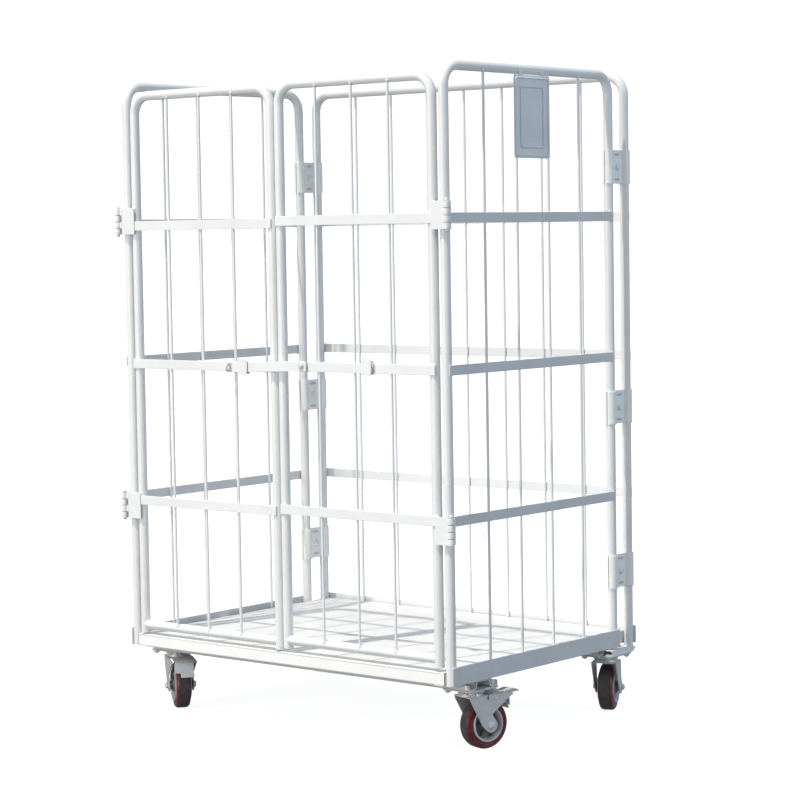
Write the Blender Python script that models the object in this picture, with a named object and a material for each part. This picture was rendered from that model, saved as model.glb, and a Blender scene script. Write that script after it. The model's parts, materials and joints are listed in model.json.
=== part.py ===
"""Two-door roll cage container on four swivel castors.

Metres, +Z up, doors on the -Y side, floor at Z = 0, footprint centred on the origin.
Each separate piece is one object. Moving pieces have their origin on their joint axis.
"""

import math

import bmesh
import bpy
from mathutils import Vector

# Sections
TUBE_R = 0.0125
TUBE_SIDES = 12
BEND_R = 0.050
BEND_STEPS = 4
WIRE_R = 0.0035
WIRE_SIDES = 6
WIRE_OFFSET = 0.009
BAR_H = 0.025
BAR_IN = 0.0115
BAR_OUT = 0.0155
GAP = 0.0003

# Heights shared by every panel
BAR_Z = (1.3202, 0.9521, 0.5847)
POST_FOOT_Z = 0.1810
PLATE_Z0 = 0.1812
PLATE_Z1 = 0.2277
PLATE_WIRE_Z = 0.2045
WIRE_SINK = 0.003  # how far a wire's end runs into its tube

# Side panels
SIDE_X = 0.5420
SIDE_Y0 = -0.3667
SIDE_Y1 = 0.3227
SIDE_TOP_Z = 1.6876
SIDE_WIRES = 4
SIDE_BAR_FRONT = 0.008
SIDE_BAR_REAR = 0.003
SIDE_PLATE_FRONT = 0.0123
SIDE_PLATE_REAR = 0.0133

# Rear panel
REAR_X = 0.5410
REAR_Y = 0.3974
REAR_TOP_Z = 1.6889
REAR_FOOT_Z = 0.1733
REAR_WIRES = 7
REAR_BAR_END = 0.006
REAR_PLATE_X = 0.5555

# Doors
DOOR_Y = -0.3704
DOOR_OUTER_X = 0.5086
LEFT_MEET_X = -0.0169
RIGHT_MEET_X = 0.0114
DOOR_TOP_Z = 1.6645
DOOR_RAIL_Z = 0.2454
DOOR_FOOT_Z = 0.2240
DOOR_WIRES = 3
LEFT_DROP = 0.0055
DOOR_BAR_OUTER = 0.010
DOOR_BAR_MEET = 0.006
RAIL_INSET = 0.004

# Hinges
HINGE_X = 0.5636
HINGE_Y = -0.3865
HINGE_Z = (1.3270, 0.5630)
KNUCKLE_R = 0.0080
KNUCKLE_H = 0.0169
KNUCKLES = 4
PIN_R = 0.0030
PIN_BORE_R = 0.00320
PIN_HALF = 0.0410
PIN_SIDES = 10
LEAF_BACK = 0.0003
LEAF_FRONT = 0.0022
POST_LEAF_Y1 = -0.3650
DOOR_LEAF_X = {"left": (0.5020, 0.5480), "right": (0.5160, 0.5552)}

# Base
FRAME_X = 0.5280
FRAME_Y0 = -0.3791
FRAME_Y1 = 0.4000
FRAME_Z0 = 0.1800
FRAME_Z1 = 0.2118
DECK_Y0 = -0.3800
DECK_Y1 = 0.4020
DECK_Z1 = 0.2145
ANGLE_T = 0.003
ANGLE_W = 0.033
RIB_X = (-0.26, 0.0, 0.26)
RIB_HALF = 0.02
RIB_Z0 = 0.1818
RIB_Z1 = 0.2100
RIB_T = 0.002
LUG_Y = (-0.29, -0.02, 0.25)
LUG_HALF = 0.02
CHANNEL_T = 0.0025
CHANNEL_HALF = 0.0565
CHANNEL_LIP = 0.0130
CHANNEL_FOOT = 0.0310
CHANNEL_CREST = 0.0240
CHANNEL_X = 0.5500
REAR_CHANNEL_X = 0.5240

# Latch
LATCH_PIVOT = Vector((0.0928, 0.0, 0.9535))
LATCH_Y0 = -0.3945
LATCH_Y1 = -0.3895
LATCH_LEFT = 0.2290
LATCH_RIGHT = 0.0150
LATCH_TAB_Y = -0.4129
LATCH_TILT = math.radians(2.0)
LATCH_BORE_R = 0.0043
BOLT_HEAD_R = 0.0085
BOLT_SHANK_R = 0.0040
KEEPER_Y0 = -0.3980
KEEPER_Y1 = -0.3862
KEEPER_T = 0.0025

# Clamps
CLAMP_Z = {"top": 1.4496, "middle": 0.8173, "bottom": 0.3811}
CLAMP_HALF = 0.044
CLAMP_T = 0.0025
CLAMP_BOLT_Y = 0.3600
CLAMP_BOLT_R = 0.0045

# Card holder
CARD_Y0 = -0.1030
CARD_Y1 = 0.0460
CARD_Z0 = 1.4665
CARD_Z1 = 1.6727
CARD_T = 0.0015
CARD_RIM_W = 0.004

# Castors
CASTOR_X = 0.5095
FRONT_CASTOR_Y = -0.2506
REAR_CASTOR_Y = 0.3351
TRAIL = 0.0380
WHEEL_R = 0.0625
WHEEL_HALF = 0.0185
CORE_R = 0.0440
AXLE_R = 0.0060
PLATE_TOP = 0.1580
PLATE_BOTTOM = 0.1550
LEG_IN = 0.0320
LEG_OUT = 0.0345
EYE_R = 0.0185
AXLE_HALF = 0.0440
PEDAL_HALF = 0.0275
CROWN_LOW = 0.1347
CROWN_TOP = 0.1376
PEDAL_PIVOT = (0.0460, 0.1338)
TRAILS = {
    "front_left": (0.811, -0.585),
    "front_right": (0.282, 0.959),
    "rear_left": (-0.620, 0.785),
    "rear_right": (-0.399, 0.917),
}

WHITE = (0.80, 0.80, 0.78, 1.0)
ZINC = (0.55, 0.56, 0.58, 1.0)
RED = (0.22, 0.015, 0.02, 1.0)
GREY = (0.45, 0.46, 0.48, 1.0)
CARD = (0.55, 0.58, 0.62, 1.0)

PLACES = {}  # world position of each object's origin


# ---------------------------------------------------------------- shells

def box(x0, x1, y0, y1, z0, z1):
    """A block between two corners, as vertices and outward faces."""
    x0, x1 = min(x0, x1), max(x0, x1)
    y0, y1 = min(y0, y1), max(y0, y1)
    verts = [Vector((x, y, z)) for z in (z0, z1) for y in (y0, y1) for x in (x0, x1)]
    faces = [(0, 2, 3, 1), (4, 5, 7, 6), (0, 1, 5, 4), (2, 6, 7, 3), (0, 4, 6, 2), (1, 3, 7, 5)]
    return verts, faces


def rings_to_shell(rings):
    """Joins equal rings of points into a closed skin with flat ends."""
    n = len(rings[0])
    verts = [p for ring in rings for p in ring]
    faces = []
    for i in range(len(rings) - 1):
        for k in range(n):
            j = (k + 1) % n
            faces.append((i * n + k, i * n + j, (i + 1) * n + j, (i + 1) * n + k))
    faces.append(tuple(range(n))[::-1])
    last = (len(rings) - 1) * n
    faces.append(tuple(last + k for k in range(n)))
    return verts, faces


def prism(outline, axis, lo, hi):
    """Extrudes a closed 2-D outline along an axis; the other two keep their order."""
    def place(u, v, w):
        return {"X": (w, u, v), "Y": (u, w, v), "Z": (u, v, w)}[axis]
    rings = [[Vector(place(u, v, w)) for u, v in outline] for w in (lo, hi)]
    return rings_to_shell(rings)


def strip(line, thickness):
    """The outline of a sheet of even thickness that follows a 2-D line."""
    pts = [Vector(p) for p in line]
    half = thickness / 2
    left, right = [], []
    for i, p in enumerate(pts):
        before = (p - pts[i - 1]).normalized() if i else None
        after = (pts[i + 1] - p).normalized() if i + 1 < len(pts) else None
        a = before or after
        b = after or before
        na = Vector((-a.y, a.x))
        nb = Vector((-b.y, b.x))
        mid = (na + nb).normalized()
        offset = mid * (half / mid.dot(nb))
        left.append(p + offset)
        right.append(p - offset)
    return [tuple(p) for p in left + right[::-1]]


def arc(cx, cy, radius, a0, a1, steps):
    """Points of an arc, angles in degrees."""
    out = []
    for i in range(steps + 1):
        a = math.radians(a0 + (a1 - a0) * i / steps)
        out.append((cx + radius * math.cos(a), cy + radius * math.sin(a)))
    return out


def rounded_path(points, radius, steps):
    """Replaces each inner corner of a path with an arc."""
    pts = [Vector(p) for p in points]
    path = [pts[0]]
    for before, p, after in zip(pts, pts[1:], pts[2:]):
        u = (before - p).normalized()
        v = (after - p).normalized()
        half = u.angle(v) / 2
        reach = radius / math.tan(half)
        centre = p + (u + v).normalized() * (radius / math.sin(half))
        start = p + u * reach - centre
        turn = math.pi - 2 * half
        axis = start.cross(p + v * reach - centre).normalized()
        for i in range(steps + 1):
            a = turn * i / steps
            path.append(centre + start * math.cos(a) + axis.cross(start) * math.sin(a))
    path.append(pts[-1])
    return path


def tube(path, radius, sides, normal):
    """A round bar along a path that lies in the plane with this normal."""
    normal = Vector(normal)
    rings = []
    for i, p in enumerate(path):
        before = (p - path[i - 1]).normalized() if i else None
        after = (path[i + 1] - p).normalized() if i + 1 < len(path) else None
        a = before or after
        b = after or before
        along = (a + b).normalized()
        side = along.cross(normal)
        stretch = 1.0 / along.dot(b)
        ring = []
        for k in range(sides):
            t = 2 * math.pi * k / sides
            ring.append(p + normal * (radius * math.cos(t)) + side * (radius * stretch * math.sin(t)))
        rings.append(ring)
    return rings_to_shell(rings)


def rod(start, end, radius, sides, turn=0.0):
    """A straight round bar between two points."""
    start, end = Vector(start), Vector(end)
    along = (end - start).normalized()
    helper = Vector((0, 0, 1)) if abs(along.z) < 0.9 else Vector((1, 0, 0))
    u = helper.cross(along).normalized()
    v = along.cross(u)
    rings = []
    for p in (start, end):
        angles = [turn + 2 * math.pi * k / sides for k in range(sides)]
        rings.append([p + u * (radius * math.cos(t)) + v * (radius * math.sin(t)) for t in angles])
    return rings_to_shell(rings)


def turned(profile, sides):
    """Revolves a closed (radius, height) outline about Z."""
    n = len(profile)
    verts, faces = [], []
    for k in range(sides):
        t = 2 * math.pi * k / sides
        verts += [Vector((r * math.cos(t), r * math.sin(t), z)) for r, z in profile]
    for k in range(sides):
        j = (k + 1) % sides
        for i in range(n):
            m = (i + 1) % n
            faces.append((k * n + i, j * n + i, j * n + m, k * n + m))
    return verts, faces


def stacked(profile, sides):
    """Revolves an open (radius, height) outline about Z into a solid with flat ends."""
    rings = []
    for r, z in profile:
        angles = [2 * math.pi * k / sides for k in range(sides)]
        rings.append([Vector((r * math.cos(t), r * math.sin(t), z)) for t in angles])
    return rings_to_shell(rings)


def moved(shell, place):
    """Puts each vertex of a shell through a function."""
    verts, faces = shell
    return [place(v) for v in verts], faces


# ---------------------------------------------------------------- objects

def material(name, colour, roughness, metallic):
    """A plain Principled material for one sub-part."""
    mat = bpy.data.materials.new(name)
    mat.use_nodes = True
    shader = mat.node_tree.nodes["Principled BSDF"]
    shader.inputs["Base Color"].default_value = colour
    shader.inputs["Roughness"].default_value = roughness
    shader.inputs["Metallic"].default_value = metallic
    mat.diffuse_color = colour
    return mat


def mesh_of(name, shells):
    """One mesh holding every shell, all facing outward."""
    verts, faces = [], []
    for points, polys in shells:
        base = len(verts)
        verts += [tuple(p) for p in points]
        faces += [tuple(base + i for i in poly) for poly in polys]
    mesh = bpy.data.meshes.new(name)
    mesh.from_pydata(verts, [], faces)
    bm = bmesh.new()
    bm.from_mesh(mesh)
    bmesh.ops.recalc_face_normals(bm, faces=bm.faces)
    bm.to_mesh(mesh)
    bm.free()
    return mesh


def cut_or_join(obj, shells, operation):
    """Applies one exact Boolean with these shells to an object's mesh."""
    helper = bpy.data.objects.new("helper", mesh_of("helper", shells))
    bpy.context.scene.collection.objects.link(helper)
    step = obj.modifiers.new(operation, "BOOLEAN")
    step.operation = operation
    step.solver = "EXACT"
    step.use_self = len(shells) > 1
    step.object = helper
    graph = bpy.context.evaluated_depsgraph_get()
    result = bpy.data.meshes.new_from_object(obj.evaluated_get(graph))
    obj.modifiers.clear()
    obj.data = result
    bpy.data.objects.remove(helper)


def tidy(mesh):
    """Merges doubled points and drops sliver edges the Booleans leave."""
    bm = bmesh.new()
    bm.from_mesh(mesh)
    bmesh.ops.remove_doubles(bm, verts=bm.verts, dist=2e-6)
    bmesh.ops.dissolve_limit(
        bm,
        angle_limit=math.radians(0.05),
        verts=bm.verts,
        edges=bm.edges,
        delimit={"NORMAL"},
    )
    bmesh.ops.triangulate(bm, faces=bm.faces)
    bm.to_mesh(mesh)
    bm.free()


def piece(name, solid, joined=(), cuts=(), origin=(0, 0, 0), parent=None, look=None):
    """Makes one named object: a first shell, what is joined to it and what is cut from it."""
    obj = bpy.data.objects.new(name, mesh_of(name, [solid]))
    bpy.context.scene.collection.objects.link(obj)
    for shell in joined:
        cut_or_join(obj, [shell], "UNION")
    for shell in cuts:
        cut_or_join(obj, [shell], "DIFFERENCE")
    obj.data.name = name
    tidy(obj.data)
    origin = Vector(origin)
    for v in obj.data.vertices:
        v.co -= origin
    obj.location = origin
    if parent:
        obj.parent = parent
        obj.location = origin - PLACES[parent.name]
    PLACES[name] = origin
    for poly in obj.data.polygons:
        poly.use_smooth = True
    obj.data.set_sharp_from_angle(angle=math.radians(35))
    colour, roughness, metallic = look or (WHITE, 0.42, 0.0)
    obj.data.materials.append(material(name + "_finish", colour, roughness, metallic))
    return obj


POWDER = (WHITE, 0.42, 0.0)
PLATED = (ZINC, 0.32, 1.0)


# ---------------------------------------------------------------- panels

def even_places(lo, hi, count):
    """Centres of bars that divide a clear width evenly."""
    return [lo + (hi - lo) * (i + 1) / (count + 1) for i in range(count)]


def side_panel(name, sign):
    """A side: bent tube, four wires, three flat bars and a bottom plate outside the tubes."""
    x = sign * SIDE_X
    outline = rounded_path(
        [(x, SIDE_Y0, POST_FOOT_Z), (x, SIDE_Y0, SIDE_TOP_Z), (x, SIDE_Y1, SIDE_TOP_Z), (x, SIDE_Y1, POST_FOOT_Z)],
        BEND_R,
        BEND_STEPS,
    )
    parts = []
    bar0, bar1 = sign * (SIDE_X + BAR_IN), sign * (SIDE_X + BAR_OUT)
    for z in BAR_Z:
        parts.append(box(bar0, bar1, SIDE_Y0 - SIDE_BAR_FRONT, SIDE_Y1 - SIDE_BAR_REAR,
                         z - BAR_H / 2, z + BAR_H / 2))
    parts.append(box(bar0, bar1, SIDE_Y0 - SIDE_PLATE_FRONT, SIDE_Y1 + SIDE_PLATE_REAR, PLATE_Z0, PLATE_Z1))
    wire_x = sign * (SIDE_X + WIRE_OFFSET)
    for y in even_places(SIDE_Y0 + TUBE_R, SIDE_Y1 - TUBE_R, SIDE_WIRES):
        parts.append(rod((wire_x, y, PLATE_WIRE_Z), (wire_x, y, SIDE_TOP_Z - WIRE_SINK), WIRE_R, WIRE_SIDES))
    return piece(name, tube(outline, TUBE_R, TUBE_SIDES, (1, 0, 0)), parts, look=POWDER)


def rear_panel():
    """The back: bent tube, seven wires, three flat bars and a bottom plate on the outside."""
    outline = rounded_path(
        [(-REAR_X, REAR_Y, REAR_FOOT_Z), (-REAR_X, REAR_Y, REAR_TOP_Z),
         (REAR_X, REAR_Y, REAR_TOP_Z), (REAR_X, REAR_Y, REAR_FOOT_Z)],
        BEND_R,
        BEND_STEPS,
    )
    parts = []
    for z in BAR_Z:
        parts.append(box(-REAR_X - REAR_BAR_END, REAR_X + REAR_BAR_END, REAR_Y + BAR_IN, REAR_Y + BAR_OUT,
                         z - BAR_H / 2, z + BAR_H / 2))
    parts.append(box(-REAR_PLATE_X, REAR_PLATE_X, REAR_Y + BAR_IN, REAR_Y + BAR_OUT, PLATE_Z0, PLATE_Z1))
    wire_y = REAR_Y + WIRE_OFFSET
    for x in even_places(-REAR_X + TUBE_R, REAR_X - TUBE_R, REAR_WIRES):
        parts.append(rod((x, wire_y, PLATE_WIRE_Z), (x, wire_y, REAR_TOP_Z - WIRE_SINK), WIRE_R, WIRE_SIDES))
    return piece("rear_panel", tube(outline, TUBE_R, TUBE_SIDES, (0, 1, 0)), parts, look=POWDER)


def door(name, outer_x, meet_x, drop):
    """A door: inverted U of tube, a round bottom rail, three wires and three flat bars in front."""
    sign = 1 if outer_x > 0 else -1
    top = DOOR_TOP_Z - drop
    rail = DOOR_RAIL_Z - drop
    foot = DOOR_FOOT_Z - drop
    outline = rounded_path(
        [(outer_x, DOOR_Y, foot), (outer_x, DOOR_Y, top), (meet_x, DOOR_Y, top), (meet_x, DOOR_Y, foot)],
        BEND_R,
        BEND_STEPS,
    )
    lo, hi = min(outer_x, meet_x), max(outer_x, meet_x)
    bottom = tube([Vector((lo + RAIL_INSET, DOOR_Y, rail)), Vector((hi - RAIL_INSET, DOOR_Y, rail))],
                  TUBE_R - 0.0002, TUBE_SIDES, (0, 1, 0))
    parts = [bottom]
    ends = {outer_x: DOOR_BAR_OUTER, meet_x: DOOR_BAR_MEET}
    for z in BAR_Z:
        parts.append(box(lo - ends[lo], hi + ends[hi],
                         DOOR_Y - BAR_OUT, DOOR_Y - BAR_IN, z - drop - BAR_H / 2, z - drop + BAR_H / 2))
    wire_y = DOOR_Y - WIRE_OFFSET
    for x in even_places(lo + TUBE_R, hi - TUBE_R, DOOR_WIRES):
        parts.append(rod((x, wire_y, rail + 0.002), (x, wire_y, top - WIRE_SINK), WIRE_R, WIRE_SIDES))
    shell = tube(outline, TUBE_R, TUBE_SIDES, (0, 1, 0))
    return piece(name, shell, parts, origin=(sign * HINGE_X, HINGE_Y, 0), look=POWDER)


# ---------------------------------------------------------------- hinges

def hinge(side, sign, level, z, leaf_parent):
    """One door hinge: the post leaf holds the pin and two knuckles, the door leaf the other two."""
    pitch = KNUCKLE_H + GAP
    half = (KNUCKLES * pitch - GAP) / 2
    base = z - half
    leaf_x0, leaf_x1 = DOOR_LEAF_X[side]
    origin = (sign * HINGE_X, HINGE_Y, z)
    plate_x0, plate_x1 = sign * (SIDE_X + BAR_OUT + GAP), sign * (SIDE_X + BAR_OUT + 0.0028)
    post = []
    door_side = []
    for i in range(KNUCKLES):
        z0, z1 = base + i * pitch, base + i * pitch + KNUCKLE_H
        ring = rod((origin[0], HINGE_Y, z0), (origin[0], HINGE_Y, z1), KNUCKLE_R, PIN_SIDES)
        if i % 2 == 0:
            post.append(ring)
            post.append(box(plate_x0, plate_x1, HINGE_Y + 0.0040, HINGE_Y + 0.0100, z0, z1))
        else:
            door_side.append(ring)
            door_side.append(box(sign * (HINGE_X - 0.0045), sign * (leaf_x1 - 0.0016),
                                 HINGE_Y - LEAF_FRONT, HINGE_Y + LEAF_BACK, z0, z1))
    bore = rod((origin[0], HINGE_Y, z - 0.06), (origin[0], HINGE_Y, z + 0.06), PIN_BORE_R, PIN_SIDES)
    pin = rod((origin[0], HINGE_Y, z - PIN_HALF), (origin[0], HINGE_Y, z + PIN_HALF), PIN_R, PIN_SIDES)
    post_plate = box(plate_x0, plate_x1, HINGE_Y + 0.0085, POST_LEAF_Y1, z - half, z + half)
    door_plate = box(sign * leaf_x0, sign * leaf_x1, HINGE_Y - LEAF_FRONT, HINGE_Y + LEAF_BACK,
                     z - half, z + half)
    tag = side + "_" + level
    piece("hinge_post_leaf_" + tag, post_plate, post + [pin], origin=origin, look=POWDER)
    piece("hinge_door_leaf_" + tag, door_plate, door_side, [bore], origin=origin,
          parent=leaf_parent, look=POWDER)


# ---------------------------------------------------------------- latch

def latch(right_door, left_door):
    """The swing bar on the right door, its pivot bolt and the two keepers."""
    pivot = Vector((LATCH_PIVOT.x, LATCH_Y1, LATCH_PIVOT.z))
    tilt_c, tilt_s = math.cos(LATCH_TILT), math.sin(LATCH_TILT)

    def hang(v):
        return Vector((pivot.x + v.x * tilt_c - v.z * tilt_s, v.y, pivot.z + v.x * tilt_s + v.z * tilt_c))

    line = [(LATCH_RIGHT, (LATCH_Y0 + LATCH_Y1) / 2), (-LATCH_LEFT, (LATCH_Y0 + LATCH_Y1) / 2),
            (-LATCH_LEFT - 0.0115, LATCH_Y0 - 0.0060), (-LATCH_LEFT - 0.0190, LATCH_TAB_Y)]
    outline = strip(line, LATCH_Y1 - LATCH_Y0)
    outline = [(u, max(v, LATCH_TAB_Y)) for u, v in outline]
    bar = moved(prism(outline, "Z", -BAR_H / 2, BAR_H / 2), hang)
    hole = rod((pivot.x, -0.42, pivot.z), (pivot.x, -0.38, pivot.z), LATCH_BORE_R, 12)
    piece("latch_bar", bar, cuts=[hole], origin=pivot, parent=right_door, look=POWDER)

    head = rod((pivot.x, -0.4000, pivot.z), (pivot.x, LATCH_Y0 - GAP, pivot.z), BOLT_HEAD_R, 12)
    shank = rod((pivot.x, -0.3980, pivot.z), (pivot.x, -0.3870, pivot.z), BOLT_SHANK_R, 12)
    washer = rod((pivot.x, LATCH_Y1 + GAP, pivot.z), (pivot.x, KEEPER_Y1, pivot.z), BOLT_HEAD_R, 12)
    piece("latch_pivot_bolt", head, [shank, washer], origin=pivot, parent=right_door, look=PLATED)

    def keeper(name, x0, x1, z0, z1, front, parent):
        back = box(x0, x1, -0.3887, KEEPER_Y1, z0, z1)
        lip = [box(x0, x1, KEEPER_Y0, -0.3880, z0, z0 + KEEPER_T)]
        if front:
            lip.append(box(x0, x1, KEEPER_Y0, KEEPER_Y0 + KEEPER_T, z0 + 0.0010, z1))
        piece(name, back, lip, origin=((x0 + x1) / 2, KEEPER_Y1, z0), parent=parent, look=POWDER)

    keeper("latch_keeper_left", -0.1295, -0.0970, 0.9293, 0.9642, False, left_door)
    keeper("latch_keeper_right", 0.2888, 0.3212, 0.9371, 0.9743, True, right_door)


# ---------------------------------------------------------------- clamps

def clamp_shell(name, sign, outward, z):
    """Half of a pressed saddle clamp that ties a side panel's rear tube to the rear panel's tube."""
    radius = TUBE_R + 0.0008 + CLAMP_T / 2
    web = 0.5415 + outward * 0.00165
    line = []
    for cx, cy, angles in (
        (SIDE_X, SIDE_Y1, (-82, 45)),
        (REAR_X, REAR_Y, (-45, 82)),
    ):
        part = arc(0, 0, radius, angles[0], angles[1], 5)
        pts = [(cx + outward * px, cy + py) for px, py in part]
        if cy == REAR_Y:
            line += [(web, SIDE_Y1 + 0.0165), (web, REAR_Y - 0.0165)]
        line += pts
    line = [(sign * u, v) for u, v in line]
    solid = prism(strip(line, CLAMP_T), "Z", z - CLAMP_HALF, z + CLAMP_HALF)
    bolt = rod((sign * 0.52, CLAMP_BOLT_Y, z), (sign * 0.56, CLAMP_BOLT_Y, z), CLAMP_BOLT_R, 6)
    piece(name, solid, cuts=[bolt], look=POWDER)


# ---------------------------------------------------------------- base

def base_frame():
    """A ring of angle section with three hat ribs and lugs out to the side panels' plates."""
    parts = []
    for x in RIB_X:
        hat = strip([(x - RIB_HALF, RIB_Z0), (x - RIB_HALF, RIB_Z1), (x + RIB_HALF, RIB_Z1),
                     (x + RIB_HALF, RIB_Z0)], RIB_T)
        parts.append(prism(hat, "Y", FRAME_Y0 + 0.0025, FRAME_Y1 - 0.0025))
    for sign in (-1, 1):
        for y in LUG_Y:
            parts.append(box(sign * 0.5275, sign * 0.5532, y - LUG_HALF, y + LUG_HALF, 0.1835, 0.2095))
    ring = box(-FRAME_X, FRAME_X, FRAME_Y0, FRAME_Y1, FRAME_Z0, FRAME_Z1)
    trough = box(-FRAME_X + ANGLE_T, FRAME_X - ANGLE_T, FRAME_Y0 + ANGLE_T, FRAME_Y1 - ANGLE_T,
                 FRAME_Z0 + ANGLE_T, 0.25)
    window = box(-FRAME_X + ANGLE_W, FRAME_X - ANGLE_W, FRAME_Y0 + ANGLE_W, FRAME_Y1 - ANGLE_W, 0.15, 0.25)
    obj = bpy.data.objects.new("base_ring", mesh_of("base_ring", [ring]))
    bpy.context.scene.collection.objects.link(obj)
    cut_or_join(obj, [trough], "DIFFERENCE")
    cut_or_join(obj, [window], "DIFFERENCE")
    verts = [v.co.copy() for v in obj.data.vertices]
    faces = [tuple(p.vertices) for p in obj.data.polygons]
    bpy.data.objects.remove(obj)
    piece("base_frame", (verts, faces), parts, look=POWDER)


def deck():
    """The loading deck, one flat sheet on the base frame."""
    piece("deck_sheet", box(-FRAME_X, FRAME_X, DECK_Y0, DECK_Y1, FRAME_Z1 + GAP, DECK_Z1), look=POWDER)


def cross_channel(name, y, half_x):
    """A hat channel with turned-up edges that joins a pair of castor plates to the frame."""
    low = PLATE_TOP + GAP + CHANNEL_T / 2
    high = FRAME_Z0 - GAP - CHANNEL_T / 2
    line = [(y - CHANNEL_HALF, low + CHANNEL_LIP), (y - CHANNEL_HALF, low), (y - CHANNEL_FOOT, low),
            (y - CHANNEL_CREST, high), (y + CHANNEL_CREST, high), (y + CHANNEL_FOOT, low),
            (y + CHANNEL_HALF, low), (y + CHANNEL_HALF, low + CHANNEL_LIP)]
    piece(name, prism(strip(line, CHANNEL_T), "X", -half_x, half_x), look=POWDER)


def rear_foot(name, sign):
    """The shoe a rear tube stands on, open on its inner side, with its lower rear corner cut off."""
    outline = [(0.3020, PLATE_TOP + GAP), (0.4000, PLATE_TOP + GAP), (0.4090, 0.1665), (0.4090, 0.1730),
               (0.3020, 0.1730)]
    pocket = [(0.3050, PLATE_TOP + 0.0028), (0.3985, PLATE_TOP + 0.0028), (0.4065, 0.1676), (0.4065, 0.1705),
              (0.3050, 0.1705)]
    solid = prism(outline, "X", sign * 0.5270, sign * 0.5540)
    hollow = prism(pocket, "X", sign * 0.5200, sign * 0.5515)
    piece(name, solid, cuts=[hollow], look=POWDER)


def card_holder():
    """A pressed label frame hung outside the right panel's wires."""
    x0 = SIDE_X + WIRE_OFFSET + WIRE_R + GAP
    back = box(x0, x0 + CARD_T, CARD_Y0, CARD_Y1, CARD_Z0, CARD_Z1)
    rims = []
    for inset, depth in ((0.0, 0.0035), (0.017, 0.0030)):
        y0, y1 = CARD_Y0 + inset, CARD_Y1 - inset
        z0, z1 = CARD_Z0 + inset, CARD_Z1 - inset
        w = CARD_RIM_W
        outer = x0 + depth
        rims.append(box(x0 + 0.001, outer, y0, y0 + w, z0, z1))
        rims.append(box(x0 + 0.001, outer, y1 - w, y1, z0, z1))
        rims.append(box(x0 + 0.001, outer, y0 + 0.001, y1 - 0.001, z0, z0 + w))
        rims.append(box(x0 + 0.001, outer, y0 + 0.001, y1 - 0.001, z1 - w, z1))
    piece("card_holder", back, rims, look=(CARD, 0.5, 0.0))


# ---------------------------------------------------------------- castors

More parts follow.
